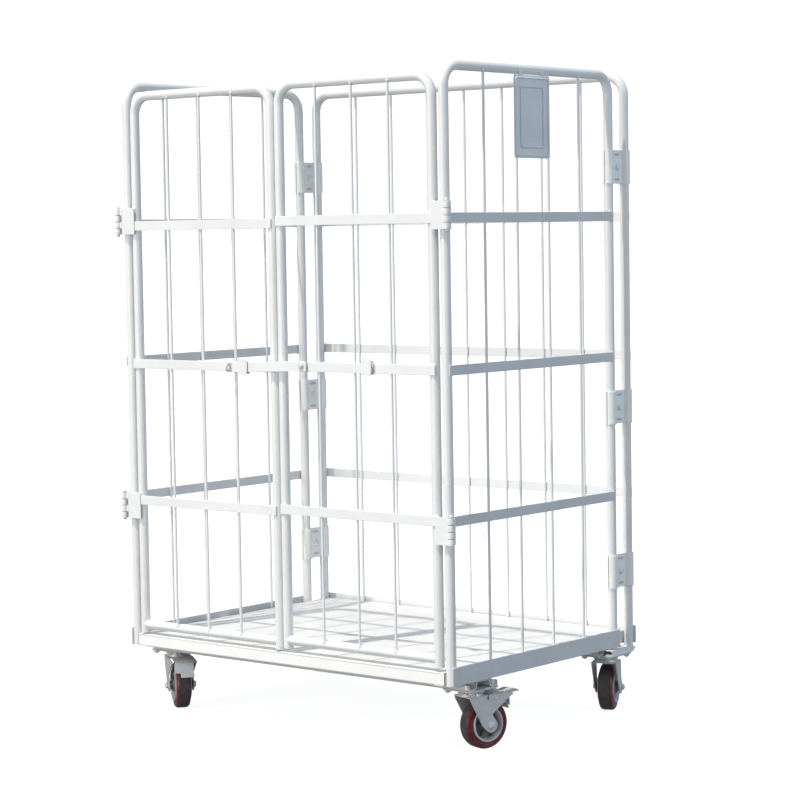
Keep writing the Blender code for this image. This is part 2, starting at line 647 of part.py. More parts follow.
def castor(tag, x, y, trail, braked):
    """A swivel castor: fixed top plate, fork, wheel of tyre and core, axle, and a pedal if braked."""
    t = Vector((trail[0], trail[1], 0)).normalized()
    a = Vector((-t.y, t.x, 0))
    swivel = Vector((x, y, 0))
    hub = swivel + t * TRAIL + Vector((0, 0, WHEEL_R))

    def local(v):
        return swivel + t * v.x + a * v.y + Vector((0, 0, v.z))

    def wheel_place(v):
        return hub + t * v.x + Vector((0, 0, v.y)) - a * v.z

    sheet = box(x - 0.0480, x + 0.0480, y - 0.0560, y + 0.0560, PLATE_BOTTOM, PLATE_TOP)
    race = moved(stacked([(0.0300, 0.1477), (0.0330, 0.1500), (0.0330, 0.1560)], 16), lambda v: v + swivel)
    king = moved(stacked([(0.0060, 0.1330), (0.0060, 0.1520)], 12), lambda v: v + swivel)
    nut = moved(stacked([(0.0100, 0.1300), (0.0100, CROWN_LOW - 0.0004)], 6), lambda v: v + swivel)
    plate = piece("castor_plate_" + tag, sheet, [race, king, nut], look=PLATED)

    head = moved(stacked([(0.0305, CROWN_LOW + 0.0004), (0.0305, 0.1385), (0.0270, 0.1472)], 16),
                 lambda v: v + swivel)
    crown = moved(box(-0.0262, 0.0334, -LEG_IN - 0.0012, LEG_IN + 0.0012, CROWN_LOW, CROWN_TOP), local)
    leg = [(-0.0262, CROWN_TOP + 0.0002), (-0.0245, 0.1290), (0.0120, 0.0620)]
    leg += arc(TRAIL, WHEEL_R, EYE_R, 245, 375, 5)
    leg += [(0.0500, 0.0740), (0.0420, 0.0870)]
    if braked:
        leg += [(0.0450, 0.0925), (0.0680, 0.1085), (0.0960, 0.1280), (0.1050, 0.1330), (0.1050, 0.1365),
                (0.0330, 0.1395), (0.0290, 0.1250), (0.0250, CROWN_TOP + 0.0002)]
    else:
        leg += [(0.0400, 0.1200), (0.0370, CROWN_TOP + 0.0002)]
    legs = [moved(prism(leg, "Y", lo, hi), local) for lo, hi in ((-LEG_OUT, -LEG_IN), (LEG_IN, LEG_OUT))]
    bore = moved(stacked([(0.00625, 0.1200), (0.00625, 0.1600)], 12), lambda v: v + swivel)
    pilot = rod(hub - a * AXLE_HALF, hub + a * AXLE_HALF, AXLE_R + GAP, 12)
    cuts = [bore, pilot]
    pin_at = local(Vector((PEDAL_PIVOT[0], 0, PEDAL_PIVOT[1])))
    if braked:
        cuts.append(rod(pin_at - a * AXLE_HALF, pin_at + a * AXLE_HALF, 0.0031, 12))
    fork = piece("castor_fork_" + tag, head, [crown] + legs, cuts, origin=swivel, look=PLATED)

    w = WHEEL_HALF
    band = turned([(CORE_R + 0.0002, -w), (0.0570, -w), (WHEEL_R, -w + 0.006),
                   (WHEEL_R, w - 0.006), (0.0570, w), (CORE_R + 0.0002, w)], 20)
    piece("castor_tyre_" + tag, moved(band, wheel_place), origin=hub, parent=fork, look=(RED, 0.4, 0.0))
    rim = w + 0.0045
    boss = LEG_IN - 0.0010
    core = turned([(AXLE_R + 0.0003, -boss), (0.0120, -boss), (0.0180, -0.0130), (0.0400, -0.0170),
                   (CORE_R, -rim), (CORE_R, rim), (0.0400, 0.0170), (0.0180, 0.0130), (0.0120, boss),
                   (AXLE_R + 0.0003, boss)], 20)
    piece("castor_core_" + tag, moved(core, wheel_place), origin=hub, parent=fork, look=(GREY, 0.45, 0.0))
    axle = rod(hub - a * AXLE_HALF, hub + a * AXLE_HALF, AXLE_R, 12)
    ends = [rod(hub + a * (s * (LEG_OUT + GAP)), hub + a * (s * (LEG_OUT + 0.0060)), 0.0095, 6) for s in (-1, 1)]
    piece("castor_axle_" + tag, axle, ends, origin=hub, parent=fork, look=PLATED)

    if braked:
        line = [(0.0425, 0.1335), (0.0600, 0.1350), (0.1000, 0.1345), (0.1160, 0.1385), (0.1290, 0.1450)]
        lever = moved(prism(strip(line, 0.0025), "Y", -PEDAL_HALF, PEDAL_HALF), local)
        apron = strip([(0.0985, 0.1340), (0.1010, 0.1150), (0.1085, 0.0960)], 0.0025)
        shoe = [(0.0660, 0.1346), (0.0660, 0.1230), (0.0770, 0.1165), (0.0870, 0.1075), (0.0920, 0.1090),
                (0.0900, 0.1342)]
        parts = [moved(prism(shoe, "Y", -0.0160, 0.0160), local),
                 moved(prism(apron, "Y", 0.0020 - PEDAL_HALF, PEDAL_HALF - 0.0020), local),
                 rod(pin_at - a * (LEG_OUT - GAP), pin_at + a * (LEG_OUT - GAP), 0.0029, 12)]
        piece("brake_pedal_" + tag, lever, parts, origin=pin_at, parent=fork, look=PLATED)


# ---------------------------------------------------------------- assembly

def build():
    for obj in list(bpy.data.objects):
        bpy.data.objects.remove(obj)
    base_frame()
    deck()
    cross_channel("cross_channel_front", FRONT_CASTOR_Y, CHANNEL_X)
    cross_channel("cross_channel_rear", REAR_CASTOR_Y, REAR_CHANNEL_X)
    rear_foot("rear_foot_left", -1)
    rear_foot("rear_foot_right", 1)
    side_panel("side_panel_left", -1)
    side_panel("side_panel_right", 1)
    rear_panel()
    left = door("left_door", -DOOR_OUTER_X, LEFT_MEET_X, LEFT_DROP)
    right = door("right_door", DOOR_OUTER_X, RIGHT_MEET_X, 0.0)
    for side, sign, leaf_parent in (("left", -1, left), ("right", 1, right)):
        for level, z in zip(("upper", "lower"), HINGE_Z):
            hinge(side, sign, level, z, leaf_parent)
    latch(right, left)
    for side, sign in (("left", -1), ("right", 1)):
        for level, z in CLAMP_Z.items():
            clamp_shell(f"clamp_outer_{side}_{level}", sign, 1, z)
            clamp_shell(f"clamp_inner_{side}_{level}", sign, -1, z)
    card_holder()
    for tag, trail in TRAILS.items():
        x = -CASTOR_X if "left" in tag else CASTOR_X
        braked = "front" in tag
        castor(tag, x, FRONT_CASTOR_Y if braked else REAR_CASTOR_Y, trail, braked)


build()
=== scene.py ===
"""Looks of the two-door roll cage: detailed meshes and procedural finishes on the CAD frame."""

import json
import math

import bmesh
import bpy
from mathutils import Matrix, Vector


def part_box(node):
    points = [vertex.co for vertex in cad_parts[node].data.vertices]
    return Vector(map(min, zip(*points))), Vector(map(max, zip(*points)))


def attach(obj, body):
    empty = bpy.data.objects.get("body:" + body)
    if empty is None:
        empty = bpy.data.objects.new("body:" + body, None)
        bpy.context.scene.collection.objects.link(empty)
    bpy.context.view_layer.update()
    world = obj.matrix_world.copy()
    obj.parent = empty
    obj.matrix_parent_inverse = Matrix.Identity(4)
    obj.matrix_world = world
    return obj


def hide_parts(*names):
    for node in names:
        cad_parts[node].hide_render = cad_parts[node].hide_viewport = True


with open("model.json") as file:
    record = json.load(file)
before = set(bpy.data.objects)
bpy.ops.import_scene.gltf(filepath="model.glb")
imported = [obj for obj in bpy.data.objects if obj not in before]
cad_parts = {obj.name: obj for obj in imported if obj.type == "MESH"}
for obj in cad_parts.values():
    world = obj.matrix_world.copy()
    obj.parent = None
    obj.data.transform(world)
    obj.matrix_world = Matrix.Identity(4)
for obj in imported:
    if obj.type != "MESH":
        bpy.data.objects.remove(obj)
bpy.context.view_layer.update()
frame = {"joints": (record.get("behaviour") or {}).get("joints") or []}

CAGE = "cage"

# Tubes, wires and flat bars
TUBE_R = 0.0125
BEND_R = 0.0500
WIRE_R = 0.0035
WIRE_OUT = 0.0090
WIRE_FOOT_Z = 0.2050
BAR_IN = 0.0120
BAR_OUT = 0.0155
BAR_H = 0.0250
BAR_Z = (1.3202, 0.9521, 0.5847)
PLATE_Z0 = 0.1812
PLATE_Z1 = 0.2277

# The pairs of tubes that the clamps hold
SIDE_TUBE_X = 0.5420
SIDE_TUBE_Y = 0.3227
REAR_TUBE_X = 0.5410
REAR_TUBE_Y = 0.3974

# Doors and hinges
DOOR_Y = -0.3704
DOOR_TOP_Z = 1.6645
DOOR_RAIL_Z = 0.2454
DOOR_FOOT_Z = 0.2240
LEFT_DROP = 0.0055
HINGE_X = 0.5636
HINGE_Y = -0.3865
HINGE_HALF = 0.0343
KNUCKLES = 4
KNUCKLE_PITCH = 0.0172
KNUCKLE_H = 0.0156
KNUCKLE_R = 0.0088
LEAF_FRONT = HINGE_Y - 0.0024
LEAF_BACK = HINGE_Y + 0.0003
POST_LEAF_X = (0.5578, 0.5603)
DOOR_LEAF_X = {-1: (0.5020, 0.5480), 1: (0.5160, 0.5552)}

# Base
RAIL_Z0 = 0.1800
RAIL_Z1 = 0.2108
RAIL_W = 0.0300
RAIL_T = 0.0030
DECK_Z0 = 0.2119
DECK_Z1 = 0.2145
RIB_X = (-0.26, 0.0, 0.26)
LUG_Y = (-0.29, -0.02, 0.25)
CHANNEL_T = 0.0025

# Clamps
CLAMP_WEB_X = 0.5415
CLAMP_T = 0.0022
CLAMP_BOLT_Y = 0.3600
RIDGE_Z = 0.0325

# Latch
LATCH_PIVOT = Vector((0.0928, 0, 0.9535))
LATCH_FRONT = -0.3945
LATCH_BACK = -0.3895
LATCH_TILT = math.radians(2.0)
KEEPER_BACK = -0.3874
KEEPER_FRONT = -0.3972

# Castors
PLATE_LOW = 0.1550
PLATE_TOP = 0.1580
RACE_LOW = 0.1500
HEAD_TOP = 0.1472
CROWN_LOW = 0.1348
CROWN_TOP = 0.1382
TRAIL = 0.0380
LEG_IN = 0.0320
LEG_OUT = 0.0345
EYE_R = 0.0185
BALLS = 22
WHEEL_R = 0.0625
CORE_R = 0.0443
SPOKES = 6
PEDAL_HALF = 0.0275


# ---------------------------------------------------------------- materials

def new_material(name):
    """An empty node material with its Principled shader."""
    mat = bpy.data.materials.new(name)
    mat.use_nodes = True
    shader = mat.node_tree.nodes["Principled BSDF"]
    return mat, mat.node_tree, shader


def noise(tree, scale, detail=4.0, roughness=0.55, stretch=None):
    """Object-space noise, stretched along an axis if asked."""
    coords = tree.nodes.new("ShaderNodeTexCoord")
    tex = tree.nodes.new("ShaderNodeTexNoise")
    tex.inputs["Scale"].default_value = scale
    tex.inputs["Detail"].default_value = detail
    tex.inputs["Roughness"].default_value = roughness
    source = coords.outputs["Object"]
    if stretch:
        mapping = tree.nodes.new("ShaderNodeMapping")
        mapping.inputs["Scale"].default_value = stretch
        tree.links.new(source, mapping.inputs["Vector"])
        source = mapping.outputs["Vector"]
    tree.links.new(source, tex.inputs["Vector"])
    return tex.outputs["Fac"]


def ramp(tree, fac, stops):
    """A colour ramp over a factor; each stop is (place, colour)."""
    node = tree.nodes.new("ShaderNodeValToRGB")
    elements = node.color_ramp.elements
    elements[0].position, elements[0].color = stops[0][0], (*stops[0][1], 1.0)
    elements[1].position, elements[1].color = stops[-1][0], (*stops[-1][1], 1.0)
    for place, colour in stops[1:-1]:
        element = elements.new(place)
        element.color = (*colour, 1.0)
    tree.links.new(fac, node.inputs["Fac"])
    return node.outputs["Color"]


def spread(tree, fac, low, high):
    """Maps a 0.3 to 0.7 factor onto a range."""
    node = tree.nodes.new("ShaderNodeMapRange")
    node.inputs["From Min"].default_value = 0.3
    node.inputs["From Max"].default_value = 0.7
    node.inputs["To Min"].default_value = low
    node.inputs["To Max"].default_value = high
    tree.links.new(fac, node.inputs["Value"])
    return node.outputs["Result"]


def blend_colours(tree, fac, first, second):
    """Mixes two colours; each may be a socket or a plain colour."""
    node = tree.nodes.new("ShaderNodeMix")
    node.data_type = "RGBA"
    tree.links.new(fac, node.inputs[0])
    for value, socket in ((first, node.inputs[6]), (second, node.inputs[7])):
        if isinstance(value, tuple):
            socket.default_value = (*value, 1.0)
        else:
            tree.links.new(value, socket)
    return node.outputs[2]


def add_bump(tree, shader, height, strength, distance, under=None):
    """A bump from a height, on top of another bump if given."""
    node = tree.nodes.new("ShaderNodeBump")
    node.inputs["Strength"].default_value = strength
    node.inputs["Distance"].default_value = distance
    tree.links.new(height, node.inputs["Height"])
    if under:
        tree.links.new(under, node.inputs["Normal"])
    tree.links.new(node.outputs["Normal"], shader.inputs["Normal"])
    return node.outputs["Normal"]


def powder_coat(name, light, dark, grime=(0.46, 0.45, 0.42), grime_from=0.68):
    """Semi-gloss powder coat: orange peel, faint thickness mottling and rubbed, greyer patches."""
    mat, tree, shader = new_material(name)
    mottle = noise(tree, 9.0, 5.0)
    scuff = noise(tree, 38.0, 8.0, 0.68)
    base = ramp(tree, mottle, [(0.35, dark), (0.62, light)])
    mask = ramp(tree, scuff, [(grime_from, (0, 0, 0)), (grime_from + 0.16, (0.30, 0.30, 0.30))])
    tree.links.new(blend_colours(tree, mask, base, grime), shader.inputs["Base Color"])
    tree.links.new(spread(tree, scuff, 0.27, 0.45), shader.inputs["Roughness"])
    shader.inputs["Specular IOR Level"].default_value = 0.45
    peel = add_bump(tree, shader, noise(tree, 750.0, 2.0), 0.10, 0.0004)
    add_bump(tree, shader, noise(tree, 90.0, 3.0), 0.08, 0.0010, peel)
    return mat


def zinc(name, light=(0.80, 0.79, 0.755), dark=(0.66, 0.65, 0.62), rough=(0.30, 0.46), metal=0.22):
    """Zinc plating: cloudy tone, fine brushing and uneven gloss."""
    mat, tree, shader = new_material(name)
    cloud = noise(tree, 60.0, 6.0, 0.62)
    brush = noise(tree, 240.0, 3.0, 0.5, (1.0, 1.0, 0.12))
    tone = ramp(tree, cloud, [(0.32, dark), (0.55, light)])
    tree.links.new(blend_colours(tree, brush, tone, dark), shader.inputs["Base Color"])
    shader.inputs["Metallic"].default_value = metal
    tree.links.new(spread(tree, cloud, rough[0], rough[1]), shader.inputs["Roughness"])
    add_bump(tree, shader, brush, 0.14, 0.0003)
    return mat


def moulded(name, light, dark, rough, bump, scale=60.0):
    """A moulded polymer: cloudy colour, fine grain and uneven gloss."""
    mat, tree, shader = new_material(name)
    cloud = noise(tree, scale, 6.0, 0.6)
    tree.links.new(ramp(tree, cloud, [(0.34, dark), (0.66, light)]), shader.inputs["Base Color"])
    tree.links.new(spread(tree, cloud, rough[0], rough[1]), shader.inputs["Roughness"])
    add_bump(tree, shader, noise(tree, 420.0, 4.0), bump, 0.0006)
    return mat


COAT = powder_coat("white_powder_coat", (0.86, 0.862, 0.85), (0.81, 0.813, 0.803))
COAT_DECK = powder_coat("deck_powder_coat", (0.90, 0.885, 0.835), (0.86, 0.845, 0.80),
                        (0.50, 0.49, 0.46), 0.60)
COAT_BASE = powder_coat("base_powder_coat", (0.83, 0.83, 0.82), (0.78, 0.78, 0.775), (0.46, 0.45, 0.43), 0.60)
# Darker, bluish copy of the white coat: painted shade for the side panels' flat bars and bottom plates and
# the base side rails.
COAT_SIDE_PAINTED_SHADE = powder_coat("side_painted_shade_coat", (0.72, 0.728, 0.74), (0.67, 0.677, 0.69))
COAT_CARD = powder_coat("card_frame_coat", (0.79, 0.81, 0.84), (0.72, 0.74, 0.77))
# Dark beige copy of the white coat for the clamp ridges: painted shade standing for the shadow along the
# pressed grooves.
COAT_RIDGE_SHADE = powder_coat("clamp_ridge_painted_shade", (0.62, 0.60, 0.58), (0.55, 0.535, 0.52))
# Brighter, warmer copy of the white coat with fewer greyer patches: painted light for the front and rear base
# rails and the clamp saddles.
COAT_PAINTED_LIGHT = powder_coat("painted_light_powder_coat", (0.97, 0.965, 0.93), (0.93, 0.925, 0.89), grime_from=0.74)
ZINC = zinc("zinc_plate")
# Dark, dull zinc for the kingpins, bearing rings and brake teeth; on the hinge pins, which show only in the
# gaps between knuckles, the darkness is painted shade.
ZINC_DULL_AND_GAP_SHADE = zinc("dull_zinc_and_gap_shade", (0.40, 0.39, 0.37), (0.26, 0.25, 0.24), (0.38, 0.58))
BOLT = zinc("zinc_bolt", (0.88, 0.91, 0.95), (0.62, 0.66, 0.72), (0.16, 0.32), 0.25)
# Near-white, barely metallic copy of the zinc: painted light and highlight, so the clamp bolts and the brake
# aprons read as bright as lit zinc.
ZINC_PAINTED_LIGHT = zinc("painted_light_zinc", (0.97, 0.98, 0.99), (0.88, 0.90, 0.93), (0.16, 0.32), 0.08)
RED_PU = moulded("wine_red_polyurethane", (0.215, 0.036, 0.038), (0.140, 0.022, 0.024), (0.24, 0.42), 0.10)
TREAD = moulded("tread_polyurethane", (0.100, 0.082, 0.084), (0.052, 0.044, 0.046), (0.42, 0.68), 0.45)
CORE = moulded("grey_wheel_core", (0.68, 0.68, 0.69), (0.56, 0.56, 0.57), (0.38, 0.55), 0.15)
# Dark copy of the grey core for the web and spokes deep in the hub: painted shade in the recess.
CORE_RECESS_SHADE = moulded("hub_recess_painted_shade", (0.27, 0.255, 0.24), (0.17, 0.16, 0.15), (0.5, 0.7), 0.20)
RUBBER = moulded("brake_rubber", (0.045, 0.045, 0.048), (0.020, 0.020, 0.022), (0.55, 0.8), 0.35)


# ---------------------------------------------------------------- shells

def block(x0, x1, y0, y1, z0, z1):
    """A block between two corners."""
    x0, x1 = min(x0, x1), max(x0, x1)
    y0, y1 = min(y0, y1), max(y0, y1)
    verts = [Vector((x, y, z)) for z in (z0, z1) for y in (y0, y1) for x in (x0, x1)]
    faces = [(0, 2, 3, 1), (4, 5, 7, 6), (0, 1, 5, 4), (2, 6, 7, 3), (0, 4, 6, 2), (1, 3, 7, 5)]
    return verts, faces


def skin(rings):
    """Joins equal rings of points, with flat ends."""
    n = len(rings[0])
    verts = [p for ring in rings for p in ring]
    faces = []
    for i in range(len(rings) - 1):
        for k in range(n):
            j = (k + 1) % n
            faces.append((i * n + k, i * n + j, (i + 1) * n + j, (i + 1) * n + k))
    last = (len(rings) - 1) * n
    faces.append(tuple(range(n))[::-1])
    faces.append(tuple(last + k for k in range(n)))
    return verts, faces


def prism(outline, axis, lo, hi):
    """Extrudes a closed 2-D outline along an axis; the other two keep their order."""
    def place(u, v, w):
        return {"X": (w, u, v), "Y": (u, w, v), "Z": (u, v, w)}[axis]
    return skin([[Vector(place(u, v, w)) for u, v in outline] for w in (lo, hi)])


def arc(cx, cy, radius, a0, a1, steps):
    """Points of an arc, angles in degrees."""
    angles = [math.radians(a0 + (a1 - a0) * i / steps) for i in range(steps + 1)]
    return [(cx + radius * math.cos(a), cy + radius * math.sin(a)) for a in angles]


def fillet(points, radius, steps, closed=False):
    """Rounds the corners of a 2-D or 3-D line."""
    pts = [Vector(p).to_3d() for p in points]
    flat = len(points[0]) == 2
    n = len(pts)
    out = []
    for i, p in enumerate(pts):
        if not closed and i in (0, n - 1):
            out.append(p)
            continue
        u = pts[i - 1] - p
        v = pts[(i + 1) % n] - p
        reach = min(radius / math.tan(u.angle(v) / 2), u.length * 0.48, v.length * 0.48)
        real = reach * math.tan(u.angle(v) / 2)
        centre = p + (u.normalized() + v.normalized()).normalized() * (real / math.sin(u.angle(v) / 2))
        start = p + u.normalized() * reach - centre
        axis = start.cross(p + v.normalized() * reach - centre).normalized()
        turn = math.pi - u.angle(v)
        for k in range(steps + 1):
            a = turn * k / steps
            out.append(centre + start * math.cos(a) + axis.cross(start) * math.sin(a))
    return [(p.x, p.y) for p in out] if flat else out


def strip(line, thickness):
    """The outline of a sheet of even thickness that follows a 2-D line."""
    pts = [Vector(p) for p in line]
    left, right = [], []
    for i, p in enumerate(pts):
        before = (p - pts[i - 1]).normalized() if i else None
        after = (pts[i + 1] - p).normalized() if i + 1 < len(pts) else None
        a, b = before or after, after or before
        na, nb = Vector((-a.y, a.x)), Vector((-b.y, b.x))
        mid = (na + nb).normalized()
        offset = mid * (thickness / 2 / mid.dot(nb))
        left.append(p + offset)
        right.append(p - offset)
    return [tuple(p) for p in left + right[::-1]]


def sweep(path, radius, sides=24):
    """A round bar along a 3-D path; radius may be one value for each point."""
    radii = radius if isinstance(radius, (list, tuple)) else [radius] * len(path)
    first = (path[1] - path[0]).normalized()
    side = first.cross(Vector((0.123, 0.456, 0.789))).normalized()
    rings = []
    for i, p in enumerate(path):
        before = (p - path[i - 1]).normalized() if i else None
        after = (path[i + 1] - p).normalized() if i + 1 < len(path) else None
        along = ((before or after) + (after or before)).normalized()
        side = (side - along * side.dot(along)).normalized()
        up = along.cross(side)
        angles = [2 * math.pi * k / sides for k in range(sides)]
        rings.append([p + side * (radii[i] * math.cos(t)) + up * (radii[i] * math.sin(t)) for t in angles])
    return skin(rings)


def rod(start, end, radius, sides=16, chamfer=0.0):
    """A straight round bar with chamfered ends."""
    start, end = Vector(start), Vector(end)
    along = (end - start).normalized()
    if not chamfer:
        return sweep([start, end], radius, sides)
    path = [start, start + along * chamfer, end - along * chamfer, end]
    return sweep(path, [radius - chamfer, radius, radius, radius - chamfer], sides)


def turned(profile, sides=48):
    """Revolves a (radius, height) outline about Z; a closed ring if its ends meet no axis."""
    n = len(profile)
    verts, faces = [], []
    for k in range(sides):
        t = 2 * math.pi * k / sides
        verts += [Vector((r * math.cos(t), r * math.sin(t), z)) for r, z in profile]
    for k in range(sides):
        j = (k + 1) % sides
        for i in range(n):
            m = (i + 1) % n
            faces.append((k * n + i, j * n + i, j * n + m, k * n + m))
    return verts, faces


def placed(shell, matrix):
    """A shell moved by a matrix."""
    return [matrix @ v for v in shell[0]], shell[1]


def aim(origin, direction, turn=0.0):
    """A matrix that carries +Z onto a direction at a place."""
    return (
        Matrix.Translation(origin)
        @ Vector(direction).to_track_quat("Z", "Y").to_matrix().to_4x4()
        @ Matrix.Rotation(turn, 4, "Z")
    )


def hex_head(across, height, washer=0.0):
    """A hexagon head with a chamfered top, and a washer under it; base at Z = 0."""
    shells = []
    low = 0.0
    if washer:
        shells.append(turned([(0.0005, 0.0), (washer, 0.0), (washer, 0.0011), (washer - 0.0003, 0.0014),
                              (0.0005, 0.0014)], 28))
        low = 0.0014
    r = across / math.sqrt(3)
    rings = []
    for radius, z in ((r, low), (r, low + height * 0.80), (r * 0.90, low + height)):
        angles = [math.pi / 3 * k for k in range(6)]
        rings.append([Vector((radius * math.cos(t), radius * math.sin(t), z)) for t in angles])
    shells.append(skin(rings))
    return shells


def dome(radius, height, steps=5, sides=20):
    """A shallow dome on Z = 0."""
    profile = [(0.00001, 0.0)]
    for i in range(steps + 1):
        a = math.pi / 2 * i / steps
        profile.append((max(radius * math.cos(a), 0.00001), height * math.sin(a)))
    return turned(profile, sides)


# ---------------------------------------------------------------- pieces

def make(name, shells, material, body, stands_for=(), bevel=0.0, smooth=40):
    """One visible piece from shells, riding on a body and standing for CAD nodes."""
    verts, faces = [], []
    for points, polys in shells:
        base = len(verts)
        verts += [tuple(p) for p in points]
        faces += [tuple(base + i for i in poly) for poly in polys]
    mesh = bpy.data.meshes.new(name)
    mesh.from_pydata(verts, [], faces)
    bm = bmesh.new()
    bm.from_mesh(mesh)
    bmesh.ops.recalc_face_normals(bm, faces=bm.faces)
    bm.to_mesh(mesh)
    bm.free()
    for poly in mesh.polygons:
        poly.use_smooth = True
    obj = bpy.data.objects.new(name, mesh)
    bpy.context.scene.collection.objects.link(obj)
    mesh.materials.append(material)
    if bevel:
        step = obj.modifiers.new("edge", "BEVEL")
        step.width = bevel
        step.segments = 2
        step.limit_method = "ANGLE"
        step.angle_limit = math.radians(50)
    mesh.set_sharp_from_angle(angle=math.radians(smooth))
    even = obj.modifiers.new("even_normals", "WEIGHTED_NORMAL")
    even.keep_sharp = True
    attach(obj, body)
    if stands_for:
        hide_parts(*stands_for)


def weld(at, along, length=0.007, radius=0.0016):
    """A short bead of weld, fat in the middle."""
    at, along = Vector(at), Vector(along).normalized()
    path = [at + along * (length * (i / 6 - 0.5)) for i in range(7)]
    radii = [radius * (0.35 + 0.65 * math.sin(math.pi * (0.08 + 0.84 * i / 6))) for i in range(7)]
    return sweep(path, radii, 8)


def flare(at, radius=0.0052, height=0.0040, down=True):
    """The little skirt of weld where a wire meets a tube."""
    at = Vector(at)
    sign = -1 if down else 1
    path = [at + Vector((0, 0, sign * height * t)) for t in (0.0, 0.35, 0.7, 1.0)]
    return sweep(path, [radius, radius * 0.92, radius * 0.78, WIRE_R], 12)


def even_places(lo, hi, count):
    """Centres of bars that divide a clear width evenly."""
    return [lo + (hi - lo) * (i + 1) / (count + 1) for i in range(count)]


# ---------------------------------------------------------------- panels

def panel(name, body, corners, out, wires, bars, wire_low, extras, wire_foot_flare=False):
    """A welded panel: bent tube, wires, flat bars and extra plates.

    corners: the four ends and corners of the tube; out: outward normal of the panel;
    wires: places along the panel; bars: (start, end, z) along the panel.
    """
    corners = [Vector(c) for c in corners]
    out = Vector(out)
    along = (corners[2] - corners[1]).normalized()
    path = fillet(corners, BEND_R, 12)
    make(name + "_tube", [sweep(path, TUBE_R, 28)], COAT, body, (name,), bevel=0.0006, smooth=60)
    top = corners[1].z
    origin = corners[1] - along * corners[1].dot(along)
    rods, beads = [], []
    for s in wires:
        at = origin + along * s + out * WIRE_OUT
        low = Vector((at.x, at.y, wire_low))
        high = Vector((at.x, at.y, top - 0.004))
        rods.append(sweep([low, (low + high) / 2, high], WIRE_R, 14))
        beads.append(flare((at.x, at.y, top - 0.0082)))
        if wire_foot_flare:
            beads.append(flare((at.x, at.y, wire_low + 0.0060), down=False))
    make(name + "_wires", rods, COAT, body)
    flats = []
    for start, end, z in bars:
        a = origin + along * start + out * BAR_IN
        b = origin + along * end + out * BAR_OUT
        flats.append(block(a.x, b.x, a.y, b.y, z - BAR_H / 2, z + BAR_H / 2))
        for place, inward in ((start, 1), (end, -1)):
            at = origin + along * (place + inward * 0.006) + out * (BAR_IN - 0.0010)
            for edge in (-1, 1):
                spot = Vector((at.x, at.y, z + edge * (BAR_H / 2 + 0.0002)))
                beads.append(weld(spot, along, 0.0085, 0.0015))
    # Flat bars of the side panels get the darker bluish coat: painted shade.
    make(name + "_flat_bars", flats, COAT_SIDE_PAINTED_SHADE if out.x else COAT, body, bevel=0.0009)
    make(name + "_welds", beads, COAT, body)
    if extras:
        # Bottom plates of the side panels get the same painted-shade coat; the rear plate gets the base coat.
        coat = COAT_SIDE_PAINTED_SHADE if out.x else COAT_BASE
        make(name + "_bottom_plate", extras, coat, body, bevel=0.0010)


def side_panel(name, sign):
    """A side: four wires and a deep bottom plate outside the tubes."""
    lo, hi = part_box(name)
    x = sign * (max(abs(lo[0]), abs(hi[0])) - BAR_OUT)
    y0, y1 = lo[1] + TUBE_R, hi[1] - TUBE_R - 0.0008
    foot, top = lo[2], hi[2] - TUBE_R
    corners = [(x, y0, foot), (x, y0, top), (x, y1, top), (x, y1, foot)]
    bars = [(y0 - 0.008, y1 - 0.003, z) for z in BAR_Z]
    plate = block(x + sign * BAR_IN, x + sign * BAR_OUT, lo[1] + 0.0002, hi[1], PLATE_Z0, PLATE_Z1)
    wires = even_places(y0 + TUBE_R, y1 - TUBE_R, 4)
    panel(name, CAGE, corners, (sign, 0, 0), wires, bars, WIRE_FOOT_Z, [plate])


def rear_panel():
    """The back: seven wires and a bottom plate on the outside."""
    lo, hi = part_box("rear_panel")
    x = REAR_TUBE_X
    y = hi[1] - BAR_OUT
    foot, top = lo[2], hi[2] - TUBE_R
    corners = [(-x, y, foot), (-x, y, top), (x, y, top), (x, y, foot)]
    bars = [(-x - 0.006, x + 0.006, z) for z in BAR_Z]
    plate = block(lo[0], hi[0], y + BAR_IN, y + BAR_OUT, PLATE_Z0, PLATE_Z1)
    wires = even_places(-x + TUBE_R, x - TUBE_R, 7)
    panel("rear_panel", CAGE, corners, (0, 1, 0), wires, bars, WIRE_FOOT_Z, [plate])


def door(name, outer, meet, drop):
    """A door leaf with its round bottom rail."""
    y = DOOR_Y
    top, rail, foot = DOOR_TOP_Z - drop, DOOR_RAIL_Z - drop, DOOR_FOOT_Z - drop
    lo, hi = min(outer, meet), max(outer, meet)
    corners = [(lo, y, foot), (lo, y, top), (hi, y, top), (hi, y, foot)]
    reach = 0.010 if outer > 0 else 0.006
    other = 0.010 if outer < 0 else 0.006
    bars = [(lo - other, hi + reach, z - drop) for z in BAR_Z]
    wires = even_places(lo + TUBE_R, hi - TUBE_R, 3)
    panel(name, name, corners, (0, -1, 0), wires, bars, rail + 0.0015, None, True)
    rail_y = Vector((0, y, rail))
    bar = sweep([Vector((lo + 0.003, y, rail)), Vector((hi - 0.003, y, rail))], TUBE_R - 0.0002, 28)
    ring = []
    for end, inward in ((lo, 1), (hi, -1)):
        for k in range(10):
            a = 2 * math.pi * k / 10
            depth = inward * (0.0110 + 0.0012 * math.cos(2 * a))
            spot = rail_y + Vector((end + depth, math.cos(a) * 0.0118, math.sin(a) * 0.0118))
            ring.append(weld(spot, (0, -math.sin(a), math.cos(a)), 0.0075, 0.0012))
    make(name + "_bottom_rail", [bar], COAT, name, smooth=60)
    make(name + "_rail_welds", ring, COAT, name)


# ---------------------------------------------------------------- base

